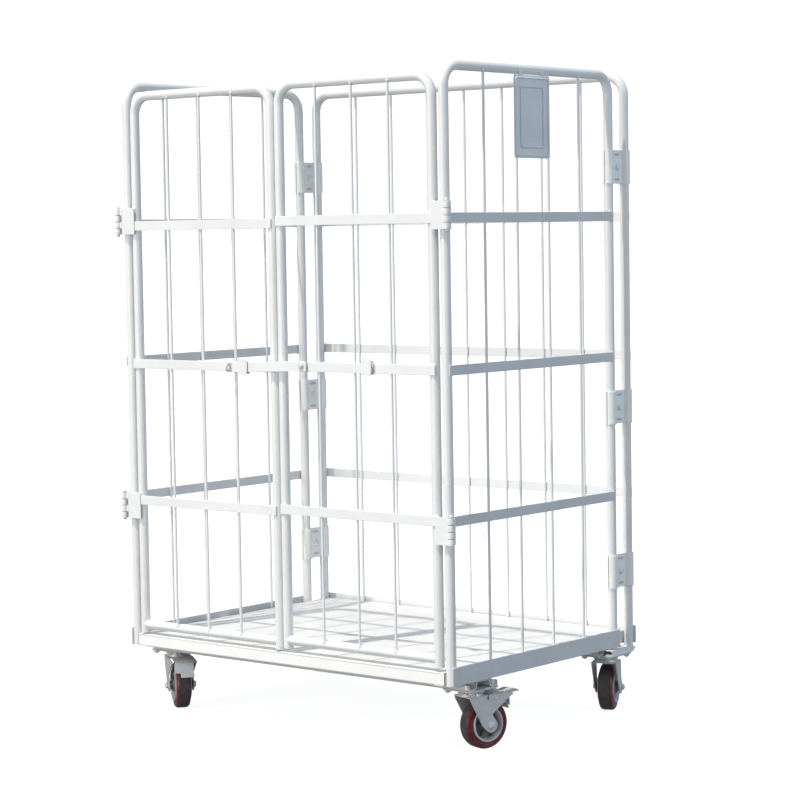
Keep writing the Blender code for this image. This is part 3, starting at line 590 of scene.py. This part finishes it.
def base():
    """Angle-section ring, deck sheet with a shadow gap under its edge, ribs and lugs."""
    lo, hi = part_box("deck_sheet")
    x, y0, y1 = hi[0], lo[1], hi[1]
    line = fillet([(0.0, RAIL_Z1), (0.0, RAIL_Z0), (RAIL_W, RAIL_Z0)], 0.0035, 5)
    half = RAIL_T / 2
    section = strip([(u + half, v + (half if v < RAIL_Z1 else 0)) for u, v in line], RAIL_T)
    rails = []
    rails.append(prism([(y0 + 0.0009 + u, v) for u, v in section], "X", -x, x))
    rails.append(prism([(y1 - 0.002 - u, v) for u, v in section], "X", -x, x))
    rails.append(prism([(-x + u, v) for u, v in section], "Y", y0 + 0.0012, y1 - 0.0022))
    rails.append(prism([(x - u, v) for u, v in section], "Y", y0 + 0.0012, y1 - 0.0022))
    inner = [block(-x + 0.004, x - 0.004, y0 + 0.0040, y0 + 0.0075, 0.1990, 0.2116)]
    for rib in RIB_X:
        hat = fillet([(rib - 0.022, 0.1835), (rib - 0.020, 0.2100), (rib + 0.020, 0.2100),
                      (rib + 0.022, 0.1835)], 0.003, 3)
        inner.append(prism(strip(hat, 0.002), "Y", y0 + 0.004, y1 - 0.006))
    for sign in (-1, 1):
        for y in LUG_Y:
            inner.append(block(sign * 0.527, sign * 0.5532, y - 0.02, y + 0.02, 0.1835, 0.2095))
    # Front and rear rails get the brighter copy of the coat: painted light.
    make("base_rails", rails[:2], COAT_PAINTED_LIGHT, CAGE, ("base_frame",), bevel=0.0004)
    # The base side rails get the darker bluish coat: painted shade.
    make("base_side_rails", rails[2:], COAT_SIDE_PAINTED_SHADE, CAGE, bevel=0.0004)
    make("base_ribs", inner, COAT_BASE, CAGE, bevel=0.0005)
    sheet = [(y0, DECK_Z0 - 0.0006), (y0 + 0.0006, DECK_Z0), (y1, DECK_Z0), (y1, DECK_Z1),
             (y0 + 0.0020, DECK_Z1), (y0 + 0.0006, DECK_Z1 - 0.0007)]
    make("deck_plate", [prism(sheet, "X", -x, x)], COAT_DECK, CAGE, ("deck_sheet",), bevel=0.0003)


def pierced(rim, hole, lo, hi):
    """A plate across X with a hole: the rim and hole are (y, z) outlines."""
    centre = Vector((sum(p[0] for p in hole) / len(hole), sum(p[1] for p in hole) / len(hole)))
    steps = 48
    rings = []
    for x in (lo, hi):
        outer, inner = [], []
        for k in range(steps):
            angle = 2 * math.pi * k / steps
            way = Vector((math.cos(angle), math.sin(angle)))
            outer.append(Vector((x, *(centre + way * reach_to(rim, centre, way)))))
            inner.append(Vector((x, *(centre + way * reach_to(hole, centre, way)))))
        rings.append((outer, inner))
    (outer0, inner0), (outer1, inner1) = rings
    verts = outer0 + outer1 + inner1 + inner0
    faces = []
    for i in range(4):
        j = (i + 1) % 4
        for k in range(steps):
            n = (k + 1) % steps
            faces.append((i * steps + k, i * steps + n, j * steps + n, j * steps + k))
    return verts, faces


def reach_to(outline, centre, way):
    """How far it is from a centre to an outline, one way."""
    best = 0.0
    for i, p in enumerate(outline):
        a = Vector(p) - centre
        b = Vector(outline[(i + 1) % len(outline)]) - centre
        edge = b - a
        cross = way.x * edge.y - way.y * edge.x
        if abs(cross) < 1e-12:
            continue
        far = (a.x * edge.y - a.y * edge.x) / cross
        along = (a.x * way.y - a.y * way.x) / cross
        if far > 0 and -1e-6 <= along <= 1 + 1e-6:
            best = max(best, far)
    return best


def channels():
    """Hat channels with turned-up edges, on the castor plates."""
    for name in ("cross_channel_front", "cross_channel_rear"):
        lo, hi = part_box(name)
        y = (lo[1] + hi[1]) / 2
        low, high = lo[2] + CHANNEL_T / 2, hi[2] - CHANNEL_T / 2
        half = hi[1] - y - CHANNEL_T / 2
        line = [(y - half, low + 0.0130), (y - half, low), (y - 0.0310, low), (y - 0.0240, high),
                (y + 0.0240, high), (y + 0.0310, low), (y + half, low), (y + half, low + 0.0130)]
        shell = prism(strip(fillet(line, 0.0028, 4), CHANNEL_T), "X", lo[0], hi[0])
        make(name + "_pressing", [shell], COAT_BASE, CAGE, (name,), bevel=0.0003)


def feet():
    """Shoes under the rear tubes."""
    for side, sign in (("left", -1), ("right", 1)):
        name = "rear_foot_" + side
        lo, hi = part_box(name)
        y0, y1, z0, z1 = lo[1], hi[1], lo[2], hi[2]
        outer = fillet([(y0, z0), (y1 - 0.009, z0), (y1, z0 + 0.008), (y1, z1), (y0, z1)], 0.0022, 4, True)
        x0, x1 = (lo[0], hi[0]) if sign > 0 else (hi[0], lo[0])
        web = prism(outer, "X", x1 - sign * 0.0025, x1)
        top = block(x0, x1 - sign * 0.002, y0 + 0.001, y1 - 0.0008, z1 - 0.0025, z1)
        low = block(x0, x1 - sign * 0.002, y0 + 0.001, y1 - 0.010, z0, z0 + 0.0025)
        collar = turned([(0.0124, 0.0), (0.0148, 0.0), (0.0140, 0.0022), (0.0126, 0.0030)], 24)
        ring = placed(collar, Matrix.Translation((sign * REAR_TUBE_X, REAR_TUBE_Y, z1 - 0.0002)))
        make(name + "_shoe", [web, top, low, ring], COAT, CAGE, (name,), bevel=0.0006)


# ---------------------------------------------------------------- fittings

def clamp(side, sign, level):
    """Two pressed saddles round the pair of tubes, with a bolt and nut."""
    lo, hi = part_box(f"clamp_outer_{side}_{level}")
    z = (lo[2] + hi[2]) / 2
    half = (hi[2] - lo[2]) / 2
    y_a, y_b = SIDE_TUBE_Y, REAR_TUBE_Y
    for layer, outward in (("outer", 1), ("inner", -1)):
        radius = TUBE_R + 0.0020
        web = CLAMP_WEB_X + outward * 0.00165
        line = [(SIDE_TUBE_X + outward * px, y_a + py) for px, py in arc(0, 0, radius, -82, 50, 14)]
        line += [(web, y_a + 0.0165), (web, y_b - 0.0165)]
        line += [(REAR_TUBE_X + outward * px, y_b + py) for px, py in arc(0, 0, radius, -50, 82, 14)]
        outline = strip([(sign * u, v) for u, v in line], CLAMP_T)
        shell = prism(outline, "Z", z - half, z + half)
        name = f"clamp_{layer}_{side}_{level}"
        # The saddles get the brighter copy of the coat: painted light.
        make(name + "_saddle", [shell], COAT_PAINTED_LIGHT, CAGE, (name,), bevel=0.0007, smooth=45)
        face = sign * (web + outward * CLAMP_T / 2)
        bumps = []
        for dz in (-RIDGE_Z, RIDGE_Z):
            middle = Vector((face, (y_a + y_b) / 2, z + dz))
            ridge = [middle + Vector((0, -0.0125 + 0.0025 * i, 0)) for i in range(11)]
            radii = [0.0030 * math.sin(math.pi * (0.12 + 0.76 * i / 10)) for i in range(11)]
            bumps.append(sweep(ridge, radii, 10))
        # The ridges are coloured dark beige: painted shade of the pressed grooves.
        make(name + "_ribs", bumps, COAT_RIDGE_SHADE, CAGE)
        direction = (sign * outward, 0, 0)
        seat = Vector((face, CLAMP_BOLT_Y, z))
        shells = [placed(s, aim(seat, direction, 0.3)) for s in hex_head(0.0145, 0.0058, 0.0112)]
        if outward < 0:
            shells.append(rod(seat, seat + Vector((sign * outward * 0.0078, 0, 0)), 0.0030, 14, 0.0008))
        # The bolts get the near-white zinc: painted light and highlight.
        make(name + "_bolt", shells, ZINC_PAINTED_LIGHT, CAGE, bevel=0.0002, smooth=30)


def hinge(side, sign, level):
    """Rolled hinge: leaves with eased edges, four knuckles and a headed pin."""
    door_body = side + "_door"
    lo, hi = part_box(f"hinge_post_leaf_{side}_{level}")
    z = (lo[2] + hi[2]) / 2
    x, y = sign * HINGE_X, HINGE_Y
    half = HINGE_HALF
    leaf_x0, leaf_x1 = DOOR_LEAF_X[sign]
    post_x0, post_x1 = (sign * v for v in POST_LEAF_X)
    post, leaf = [], []
    for i in range(KNUCKLES):
        z0 = z - half + i * KNUCKLE_PITCH
        z1 = z0 + KNUCKLE_H
        knuckle = rod((x, y, z0), (x, y, z1), KNUCKLE_R, 32, 0.0006)
        (post if i % 2 == 0 else leaf).append(knuckle)
        if i % 2 == 0:
            post.append(block(post_x0, post_x1, y + 0.003, y + 0.010, z0, z1))
        else:
            leaf.append(block(x - sign * 0.004, sign * (leaf_x1 - 0.001), LEAF_FRONT, LEAF_BACK, z0, z1))
    core = rod((x, y, z - half + 0.001), (x, y, z + half - 0.001), 0.0070, 24)
    post.append(block(post_x0, post_x1, y + 0.0085, -0.3650, z - half, z + half))
    corners = [(sign * leaf_x0, z - half), (sign * leaf_x1, z - half),
               (sign * leaf_x1, z + half), (sign * leaf_x0, z + half)]
    plate = prism(fillet(corners, 0.0030, 4, True), "Y", LEAF_FRONT, LEAF_BACK)
    post_name, leaf_name = f"hinge_post_leaf_{side}_{level}", f"hinge_door_leaf_{side}_{level}"
    make(post_name + "_plate", post, COAT, CAGE, (post_name,), bevel=0.0002, smooth=50)
    make(leaf_name + "_plate", leaf + [plate], COAT, door_body, (leaf_name,), bevel=0.0002, smooth=50)
    # The pin shows only in the gaps between knuckles; its dark zinc is painted shade in those gaps.
    make(f"hinge_pin_{side}_{level}", [core], ZINC_DULL_AND_GAP_SHADE, CAGE)
    ends = []
    for end, up in ((1, (0, 0, 1)), (-1, (0, 0, -1))):
        ends.append(rod((x, y, z + end * 0.0342), (x, y, z + end * 0.0392), 0.0048, 20, 0.0005))
        ends.append(placed(dome(0.0042, 0.0016), aim((x, y, z + end * 0.0391), up)))
    make(f"hinge_pin_ends_{side}_{level}", ends, COAT, CAGE)
    beads = []
    for edge in (-1, 1):
        beads.append(weld((sign * 0.5200, y + 0.0012, z + edge * 0.0343), (1, 0, 0), 0.016, 0.0018))
    make(leaf_name + "_weld", beads, COAT, door_body)


def latch():
    """Swing bar with its rolled finger tab, pivot bolt and the two keepers."""
    pivot = LATCH_PIVOT
    tilt = Matrix.Translation(pivot) @ Matrix.Rotation(-LATCH_TILT, 4, "Y")
    mid = (LATCH_FRONT + LATCH_BACK) / 2
    line = fillet([(0.0150, mid), (-0.2445, mid), (-0.2460, mid - 0.0034)], 0.003, 4)
    bar = placed(prism(strip(line, 0.0042), "Z", -BAR_H / 2, BAR_H / 2), tilt)
    make("latch_swing_bar", [bar], COAT, "latch_bar", ("latch_bar",), bevel=0.0009)
    rim = arc(-0.4003, 0.0, 0.0125, 90, 270, 16) + [(-0.3930, -0.0125), (-0.3930, 0.0125)]
    hole = arc(-0.4025, 0.0, 0.0048, 90, -270, 20)[:-1]
    tab = placed(pierced(rim, hole, -0.2475, -0.2437), tilt)
    make("latch_finger_tab", [tab], COAT, "latch_bar", bevel=0.0004)
    at = Vector((pivot.x, LATCH_FRONT - 0.0003, pivot.z))
    head = [placed(s, aim(at, (0, -1, 0), 0.4)) for s in hex_head(0.0115, 0.0045, 0.0088)]
    head.append(rod((pivot.x, -0.3862, pivot.z), (pivot.x, LATCH_BACK + 0.0003, pivot.z), 0.0085, 24, 0.0004))
    make("latch_bolt", head, BOLT, "right_door", ("latch_pivot_bolt",), bevel=0.0002, smooth=30)
    for name, body in (("latch_keeper_left", "left_door"), ("latch_keeper_right", "right_door")):
        lo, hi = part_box(name)
        x0, x1, z0, z1 = lo[0], hi[0], lo[2], hi[2]
        line = fillet([(KEEPER_BACK, z1 - 0.002), (KEEPER_BACK, z0 + 0.0012), (KEEPER_FRONT, z0 + 0.0012),
                       (KEEPER_FRONT, z1)], 0.0026, 5)
        lip = prism(strip(line, 0.0022), "X", x0 + 0.006, x1 + 0.006)
        x0, x1 = x0 + 0.008, x1 + 0.003
        z0, z1 = z0 - 0.002, z1 + 0.004
        cheek = fillet([(x0, z0), (x1, z0), (x1, z1), (x0, z1)], 0.0040, 6, True)
        front = prism(cheek, "Y", KEEPER_FRONT - 0.0015, KEEPER_FRONT + 0.0011)
        make(name + "_hook", [lip, front], COAT, body, (name,), bevel=0.0006)


def card_holder():
    """Pressed label frame: rounded sheet with two raised rims and a recessed field."""
    lo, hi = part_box("card_holder")
    x = lo[0]
    y0, y1, z0, z1 = lo[1], hi[1], lo[2], hi[2]

    def rounded(inset, radius):
        a0, a1, b0, b1 = y0 + inset, y1 - inset, z0 + inset, z1 - inset
        return fillet([(a0, b0), (a1, b0), (a1, b1), (a0, b1)], radius, 6, True)

    shells = [prism(rounded(0.0, 0.007), "X", x, x + 0.0014)]
    for inset, radius, size in ((0.0070, 0.0060, 0.0030), (0.0280, 0.0040, 0.0036)):
        ring = [Vector((x + 0.0014, u, v)) for u, v in rounded(inset, radius)]
        ring = ring + ring[:2]
        shells.append(sweep(ring, size, 10))
    make("card_frame", shells, COAT_CARD, CAGE, ("card_holder",), bevel=0.0003)
    field = prism(rounded(0.0320, 0.0030), "X", x + 0.0014, x + 0.0019)
    make("card_field", [field], COAT_CARD, CAGE, bevel=0.0002)
    tabs = [block(x - 0.0005, x + 0.0012, y - 0.009, y + 0.009, z1 - 0.001, z1 + 0.010)
            for y in (y0 + 0.030, y1 - 0.030)]
    make("card_frame_tabs", tabs, COAT_CARD, CAGE, bevel=0.0004)


# ---------------------------------------------------------------- castors

def castor(tag, braked):
    """A swivel castor, placed from its CAD plate and wheel."""
    fork_body, wheel_body = "castor_" + tag, "wheel_" + tag
    swivel_joint = next(j for j in frame["joints"] if j["name"] == "swivel_" + tag)
    roll_joint = next(j for j in frame["joints"] if j["name"] == "roll_" + tag)
    swivel = Vector(swivel_joint["pos_m"]) * Vector((1, 1, 0))
    hub = Vector(roll_joint["pos_m"])
    t = (hub - swivel) * Vector((1, 1, 0))
    t.normalize()
    a = Vector((-t.y, t.x, 0))
    local = Matrix((
        (t.x, a.x, 0, swivel.x),
        (t.y, a.y, 0, swivel.y),
        (0, 0, 1, 0),
        (0, 0, 0, 1),
    ))
    top_plate(tag, swivel)
    fork(tag, fork_body, local, braked)
    wheel(tag, wheel_body, hub, a)
    axle_ends(tag, fork_body, hub, a)
    if braked:
        brake(tag, local)


def top_plate(tag, swivel):
    """Rounded plate with four bolts, the upper race and the kingpin."""
    name = "castor_plate_" + tag
    x0, x1, y0, y1 = swivel.x - 0.048, swivel.x + 0.048, swivel.y - 0.056, swivel.y + 0.056
    sheet = prism(fillet([(x0, y0), (x1, y0), (x1, y1), (x0, y1)], 0.008, 6, True), "Z", PLATE_LOW, PLATE_TOP)
    race = turned([(0.001, RACE_LOW), (0.0295, RACE_LOW), (0.0320, 0.1478), (0.0345, 0.1482),
                   (0.0352, 0.1505), (0.0340, 0.1545), (0.0370, 0.1552), (0.001, 0.1552)], 56)
    race = placed(race, Matrix.Translation(swivel))
    make(name + "_sheet", [sheet, race], ZINC, CAGE, (name,), bevel=0.0004)
    bolts = []
    for sx in (-1, 1):
        for sy in (-1, 1):
            spot = Vector((swivel.x + sx * 0.037, swivel.y + sy * 0.044, PLATE_LOW))
            turn = 0.5 + sx * 0.7 + sy * 0.4
            bolts += [placed(s, aim(spot, (0, 0, -1), turn)) for s in hex_head(0.0130, 0.0052, 0.0100)]
            bolts.append(rod(spot, spot + Vector((0, 0, -0.0088)), 0.0039, 14, 0.0008))
    make(name + "_bolts", bolts, BOLT, CAGE, bevel=0.0002, smooth=30)
    king = turned([(0.0005, 0.1302), (0.0070, 0.1302), (0.0078, 0.1312), (0.0078, 0.1342),
                   (0.0005, 0.1342)], 24)
    make(name + "_kingpin", [placed(king, Matrix.Translation(swivel))], ZINC_DULL_AND_GAP_SHADE, CAGE)


def leg_outline(braked):
    """Side view of a fork leg: broad at the crown, a slanted toe and a round eye; a wing if braked."""
    line = fillet([(-0.0262, 0.1378), (-0.0245, 0.1290), (0.0120, 0.0620), (0.0300, 0.0450)], 0.004, 4)
    eye = arc(TRAIL, WHEEL_R, EYE_R, 248, 375, 14)
    if braked:
        rise = [(0.0500, 0.0760), (0.0415, 0.0880), (0.0460, 0.0930), (0.0680, 0.1085), (0.0960, 0.1280),
                (0.1062, 0.1330), (0.1055, 0.1370), (0.0335, 0.1398), (0.0300, 0.1250), (0.0285, 0.1250),
                (0.0240, 0.1378)]
        return line + eye + fillet(rise, 0.0022, 3)
    plain = [(0.0500, 0.0760), (0.0420, 0.0880), (0.0400, 0.1200), (0.0375, 0.1378)]
    return line + eye + fillet(plain, 0.004, 4)


def fork(tag, body, local, braked):
    """Pressed fork: swivel head with a lower race, domed crown, and two legs with a rolled shoulder."""
    name = "castor_fork_" + tag
    head = turned([(0.0010, 0.1355), (0.0305, 0.1355), (0.0312, 0.1375), (0.0312, 0.1400), (0.0296, 0.1425),
                   (0.0285, 0.1465), (0.0265, HEAD_TOP), (0.0010, HEAD_TOP)], 56)
    half = LEG_IN + 0.0008
    crown = prism(fillet([(-0.0258, -half), (0.0345, -half), (0.0345, half), (-0.0258, half)],
                         0.006, 5, True), "Z", CROWN_LOW, CROWN_TOP)
    section = arc(LEG_IN - 0.0022, 0.1345, 0.0042, 0, 90, 6)
    shoulders = []
    for sign in (-1, 1):
        outline = [(sign * u, v) for u, v in section] + [(sign * (LEG_IN - 0.0022), 0.1345)]
        shoulders.append(prism(outline, "X", -0.0240, 0.0225))
    outline = leg_outline(braked)
    legs = [prism(outline, "Y", lo, hi) for lo, hi in ((-LEG_OUT, -LEG_IN), (LEG_IN, LEG_OUT))]
    shells = [head, crown] + legs + shoulders
    make(name + "_pressing", [placed(s, local) for s in shells], ZINC, body, (name,), bevel=0.0006, smooth=50)
    balls = []
    for k in range(BALLS):
        angle = 2 * math.pi * k / BALLS
        centre = Vector((0.0305 * math.cos(angle), 0.0305 * math.sin(angle), 0.1462))
        balls.append(placed(dome(0.0024, 0.0024, 4, 10), local @ Matrix.Translation(centre)))
        balls.append(placed(dome(0.0024, 0.0024, 4, 10), local @ aim(centre, (0, 0, -1))))
    make(name + "_balls", balls, BOLT, body)


def wheel(tag, body, hub, a):
    """Polyurethane tyre with grooved, rounded sides on a moulded core with a deep recess."""
    place = aim(hub, a)
    side = [(CORE_R, 0.0180), (0.0452, 0.0188), (0.0480, 0.0189), (0.0490, 0.0179), (0.0500, 0.0179),
            (0.0510, 0.0188), (0.0545, 0.0186), (0.0553, 0.0176), (0.0562, 0.0176), (0.0570, 0.0184),
            (0.0586, 0.0178), (0.0602, 0.0163), (0.0611, 0.0148)]
    cheeks = []
    for s in (1, -1):
        ring = [(r, s * z) for r, z in side]
        ring += [(0.0600, s * 0.0130), (0.0590, s * 0.0104), (CORE_R, s * 0.0104)]
        cheeks.append(placed(turned(ring, 72), place))
    make(f"castor_tyre_{tag}_cheeks", cheeks, RED_PU, body, (f"castor_tyre_{tag}",), smooth=50)
    shoulder = [(0.0600, 0.0138), (0.0616, 0.0138), (0.0623, 0.0118), (WHEEL_R, 0.0090), (WHEEL_R, 0.0)]
    band = shoulder + [(r, -z) for r, z in shoulder[::-1][1:]] + [(0.0585, -0.0106), (0.0585, 0.0106)]
    make(f"castor_tyre_{tag}_tread", [placed(turned(band, 72), place)], TREAD, body,
         smooth=50)
    rim = [(0.0360, 0.0100), (0.0378, 0.0175), (0.0392, 0.0200), (0.0398, 0.0224), (0.0405, 0.0230),
           (0.0436, 0.0230), (0.0442, 0.0220)]
    ring = rim + [(r, -z) for r, z in rim[::-1]]
    make(f"castor_core_{tag}_rim", [placed(turned(ring, 64), place)], CORE, body,
         (f"castor_core_{tag}",), smooth=50)
    web = [(0.0062, 0.0240), (0.0140, 0.0240), (0.0165, 0.0215), (0.0185, 0.0120), (0.0215, 0.0060),
           (0.0360, 0.0055), (0.0370, 0.0110)]
    disc = web + [(r, -z) for r, z in web[::-1]]
    shells = [placed(turned(disc, 64), place)]
    for k in range(SPOKES):
        spoke = block(0.0170, 0.0375, -0.0014, 0.0014, -0.0150, 0.0150)
        shells.append(placed(spoke, place @ Matrix.Rotation(2 * math.pi * k / SPOKES, 4, "Z")))
    # The web and spokes sit deep in the core and get its dark copy: painted shade in the recess.
    make(f"castor_core_{tag}_web", shells, CORE_RECESS_SHADE, body, bevel=0.0004)
    seal = [(0.0062, 0.0312), (0.0095, 0.0312), (0.0110, 0.0300), (0.0115, 0.0240), (0.0062, 0.0238)]
    rings = [placed(turned([(r, s * z) for r, z in seal], 36), place) for s in (-1, 1)]
    make(f"castor_core_{tag}_bearings", rings, ZINC_DULL_AND_GAP_SHADE, body)


def axle_ends(tag, body, hub, a):
    """Axle bolt: head on one leg, nut and thread end on the other."""
    name = "castor_axle_" + tag
    shells = []
    for s in (-1, 1):
        spot = hub + a * (s * LEG_OUT)
        shells += [placed(p, aim(spot, a * s, 0.35 * s)) for p in hex_head(0.0150, 0.0058, 0.0112)]
    shells.append(rod(hub - a * (LEG_OUT + 0.0092), hub + a * (LEG_OUT + 0.0064), 0.0052, 20, 0.0009))
    make(name + "_bolt", shells, BOLT, body, (name,), bevel=0.0003, smooth=30)


def bowed_sheet(line, widths, bow, thickness, cross=8):
    """A pressed tongue: follows a (t, z) line, with a width and a crown across it."""
    top, low = [], []
    n = len(line)
    for i, (u, v) in enumerate(line):
        for k in range(cross + 1):
            s = 2 * k / cross - 1
            lift = bow * (1 - s * s)
            top.append(Vector((u, s * widths[i] / 2, v + lift)))
            low.append(Vector((u, s * widths[i] / 2, v + lift - thickness)))
    m = cross + 1
    verts = top + low
    half = len(top)
    faces = []
    for i in range(n - 1):
        for k in range(cross):
            q = (i * m + k, i * m + k + 1, (i + 1) * m + k + 1, (i + 1) * m + k)
            faces.append(q)
            faces.append(tuple(half + j for j in q[::-1]))
    rim = [k for k in range(m)] + [i * m + cross for i in range(1, n)]
    rim += [(n - 1) * m + k for k in range(cross - 1, -1, -1)] + [i * m for i in range(n - 2, 0, -1)]
    for i, p in enumerate(rim):
        q = rim[(i + 1) % len(rim)]
        faces.append((p, q, half + q, half + p))
    return verts, faces


def brake(tag, local):
    """Toe pedal, its hanging front plate with a lip, side links with rivets, and the rubber shoe."""
    name = body = "brake_pedal_" + tag
    line = fillet([(0.0400, 0.1380), (0.0560, 0.1412), (0.0960, 0.1362), (0.1200, 0.1402), (0.1345, 0.1378)],
                  0.010, 4)
    widths = []
    for u, v in line:
        neck = 1.0 - 0.18 * math.exp(-((u - 0.104) / 0.008) ** 2)
        nose = 1.0 - 0.30 * max(0.0, (u - 0.122) / 0.0125) ** 2
        widths.append(2 * PEDAL_HALF * neck * nose)
    tongue = bowed_sheet(line, widths, 0.0022, 0.0024, 12)
    make(name + "_tongue", [placed(tongue, local)], ZINC, body, (name,), smooth=60)
    ridges = []
    for u in (0.1160, 0.1195, 0.1230):
        places = [k / 5 - 1 for k in range(11)]
        ridge = [Vector((u, 0.020 * p, 0.1402 + 0.0018 * (1 - p * p))) for p in places]
        ridges.append(placed(sweep(ridge, 0.0010, 8), local))
    make(name + "_grip_ridges", ridges, ZINC, body)
    hang = [(0.0950, 0.1345), (0.0985, 0.1325), (0.1005, 0.1150), (0.1002, 0.1045)]
    kick = [(0.1004, 0.1140), (0.1004, 0.1060), (0.1085, 0.0985), (0.1083, 0.0935)]
    cover = strip(fillet(hang, 0.004, 4), 0.0024)
    lip = strip(fillet(kick, 0.003, 4), 0.0022)
    width = PEDAL_HALF - 0.0010
    plates = [prism(cover, "Y", -width, width), prism(lip, "Y", -0.0110, width)]
    # The apron gets the near-white zinc: painted light and highlight.
    make(name + "_apron", [placed(p, local) for p in plates], ZINC_PAINTED_LIGHT, body, bevel=0.0007)
    shoe = fillet([(0.0665, 0.1335), (0.0665, 0.1232), (0.0770, 0.1168), (0.0880, 0.1082), (0.0950, 0.1060),
                   (0.0965, 0.1330)], 0.002, 3, True)
    shoe = placed(prism(shoe, "Y", -0.0180, 0.0180), local)
    make(name + "_shoe", [shoe], RUBBER, body, bevel=0.0009)
    tooth = [(0.0700, 0.1195), (0.0955, 0.1045), (0.1000, 0.1120), (0.0720, 0.1330)]
    teeth = []
    for k in range(6):
        at = -0.0225 + 0.0090 * k
        teeth.append(placed(prism(tooth, "Y", at - 0.0016, at + 0.0016), local))
    make(name + "_teeth", teeth, ZINC_DULL_AND_GAP_SHADE, body, bevel=0.0004)
    rivets = []
    for s in (-1, 1):
        for u, v in ((0.0540, 0.1268), (0.0793, 0.1245), (0.0300, 0.1165)):
            spot = Vector((u, s * LEG_OUT, v))
            size = 0.0036 if u > 0.04 else 0.0020
            rivets.append(placed(dome(size, size * 0.6), local @ aim(spot, (0, s, 0))))
    make(f"castor_fork_{tag}_rivets", rivets, BOLT, "castor_" + tag)


# ---------------------------------------------------------------- stage

def stage():
    """Pale floor that sweeps up behind, one sun, two area lights and a soft sky."""
    mat, tree, shader = new_material("pale_floor")
    shader.inputs["Base Color"].default_value = (0.30, 0.30, 0.30, 1.0)
    shader.inputs["Roughness"].default_value = 0.9
    shader.inputs["Emission Color"].default_value = (1.0, 1.0, 1.0, 1.0)
    shader.inputs["Emission Strength"].default_value = 0.90
    profile = [(-70.0, 0.0), (9.0, 0.0)] + arc(9.0, 3.0, 3.0, -90, 0, 12)[1:] + [(12.0, 14.0)]
    turn = Matrix.Rotation(math.radians(39.6), 4, "Z")
    rows = []
    for depth, height in profile:
        rows.append([turn @ Vector((x, depth, height - 0.0003)) for x in (-60.0, 60.0)])
    mesh = bpy.data.meshes.new("floor")
    verts = [p for row in rows for p in row]
    faces = [(2 * i, 2 * i + 1, 2 * i + 3, 2 * i + 2) for i in range(len(rows) - 1)]
    mesh.from_pydata([tuple(v) for v in verts], [], faces)
    mesh.materials.append(mat)
    for poly in mesh.polygons:
        poly.use_smooth = True
    floor = bpy.data.objects.new("floor", mesh)
    bpy.context.scene.collection.objects.link(floor)
    floor.visible_diffuse = False
    floor.visible_glossy = False

    world = bpy.data.worlds.new("soft_sky")
    bpy.context.scene.world = world
    world.use_nodes = True
    sky = world.node_tree.nodes["Background"]
    sky.inputs["Strength"].default_value = 0.50
    tree = world.node_tree
    coords = tree.nodes.new("ShaderNodeTexCoord")
    height = tree.nodes.new("ShaderNodeSeparateXYZ")
    tree.links.new(coords.outputs["Generated"], height.inputs[0])
    rise = tree.nodes.new("ShaderNodeMapRange")
    rise.inputs["From Min"].default_value = -0.6
    rise.inputs["From Max"].default_value = 0.6
    tree.links.new(height.outputs["Z"], rise.inputs["Value"])
    tone = ramp(tree, rise.outputs["Result"], [(0.0, (0.34, 0.35, 0.36)), (0.5, (0.66, 0.74, 0.84)),
                                                (1.0, (0.74, 0.83, 0.98))])
    tree.links.new(tone, sky.inputs["Color"])

    sun = bpy.data.lights.new("key", "SUN")
    sun.energy = 2.7
    sun.angle = math.radians(1.2)
    sun.color = (1.0, 0.975, 0.92)
    key = bpy.data.objects.new("key", sun)
    key.rotation_euler = Vector((0.108, 0.43, -1.0)).to_track_quat("-Z", "Y").to_euler()
    bpy.context.scene.collection.objects.link(key)

    for name, place, size, power, colour in (
        ("front_panel", (-1.2, -5.9, 1.5), 3.2, 158.0, (1.0, 0.975, 0.93)),
        ("right_panel", (5.0, 1.5, 2.0), 1.6, 46.0, (0.66, 0.84, 1.0)),
    ):
        light = bpy.data.lights.new(name, "AREA")
        light.shape = "DISK"
        light.size = size
        light.energy = power
        light.color = colour
        lamp = bpy.data.objects.new(name, light)
        lamp.location = place
        lamp.rotation_euler = (Vector((0, 0, 0.8)) - Vector(place)).to_track_quat("-Z", "Y").to_euler()
        bpy.context.scene.collection.objects.link(lamp)


def camera():
    """The view point and lens worked out for this object."""
    yaw, pitch, roll = (math.radians(v) for v in (39.621, 3.909, -0.9037))
    ahead = Vector((-math.sin(yaw) * math.cos(pitch), math.cos(yaw) * math.cos(pitch), -math.sin(pitch)))
    level = Vector((math.cos(yaw), math.sin(yaw), 0))
    upright = level.cross(ahead)
    right = level * math.cos(roll) + upright * math.sin(roll)
    up = upright * math.cos(roll) - level * math.sin(roll)
    lens = bpy.data.cameras.new("camera")
    lens.lens = 110.29
    lens.sensor_width = 36.0
    lens.clip_end = 200.0
    view = bpy.data.objects.new("camera", lens)
    view.matrix_world = Matrix((
        (right.x, up.x, -ahead.x, 4.2244),
        (right.y, up.y, -ahead.y, -4.9950),
        (right.z, up.z, -ahead.z, 1.2864),
        (0, 0, 0, 1),
    ))
    bpy.context.scene.collection.objects.link(view)
    bpy.context.scene.camera = view


def build():
    """Every piece of the cage, then the stage."""
    bpy.context.scene.view_settings.view_transform = "Standard"
    base()
    channels()
    feet()
    side_panel("side_panel_left", -1)
    side_panel("side_panel_right", 1)
    rear_panel()
    door("left_door", -0.5086, -0.0169, LEFT_DROP)
    door("right_door", 0.5086, 0.0114, 0.0)
    for side, sign in (("left", -1), ("right", 1)):
        for level in ("upper", "lower"):
            hinge(side, sign, level)
        for level in ("top", "middle", "bottom"):
            clamp(side, sign, level)
    latch()
    card_holder()
    castor("front_left", True)
    castor("front_right", True)
    castor("rear_left", False)
    castor("rear_right", False)
    stage()
    camera()


build()
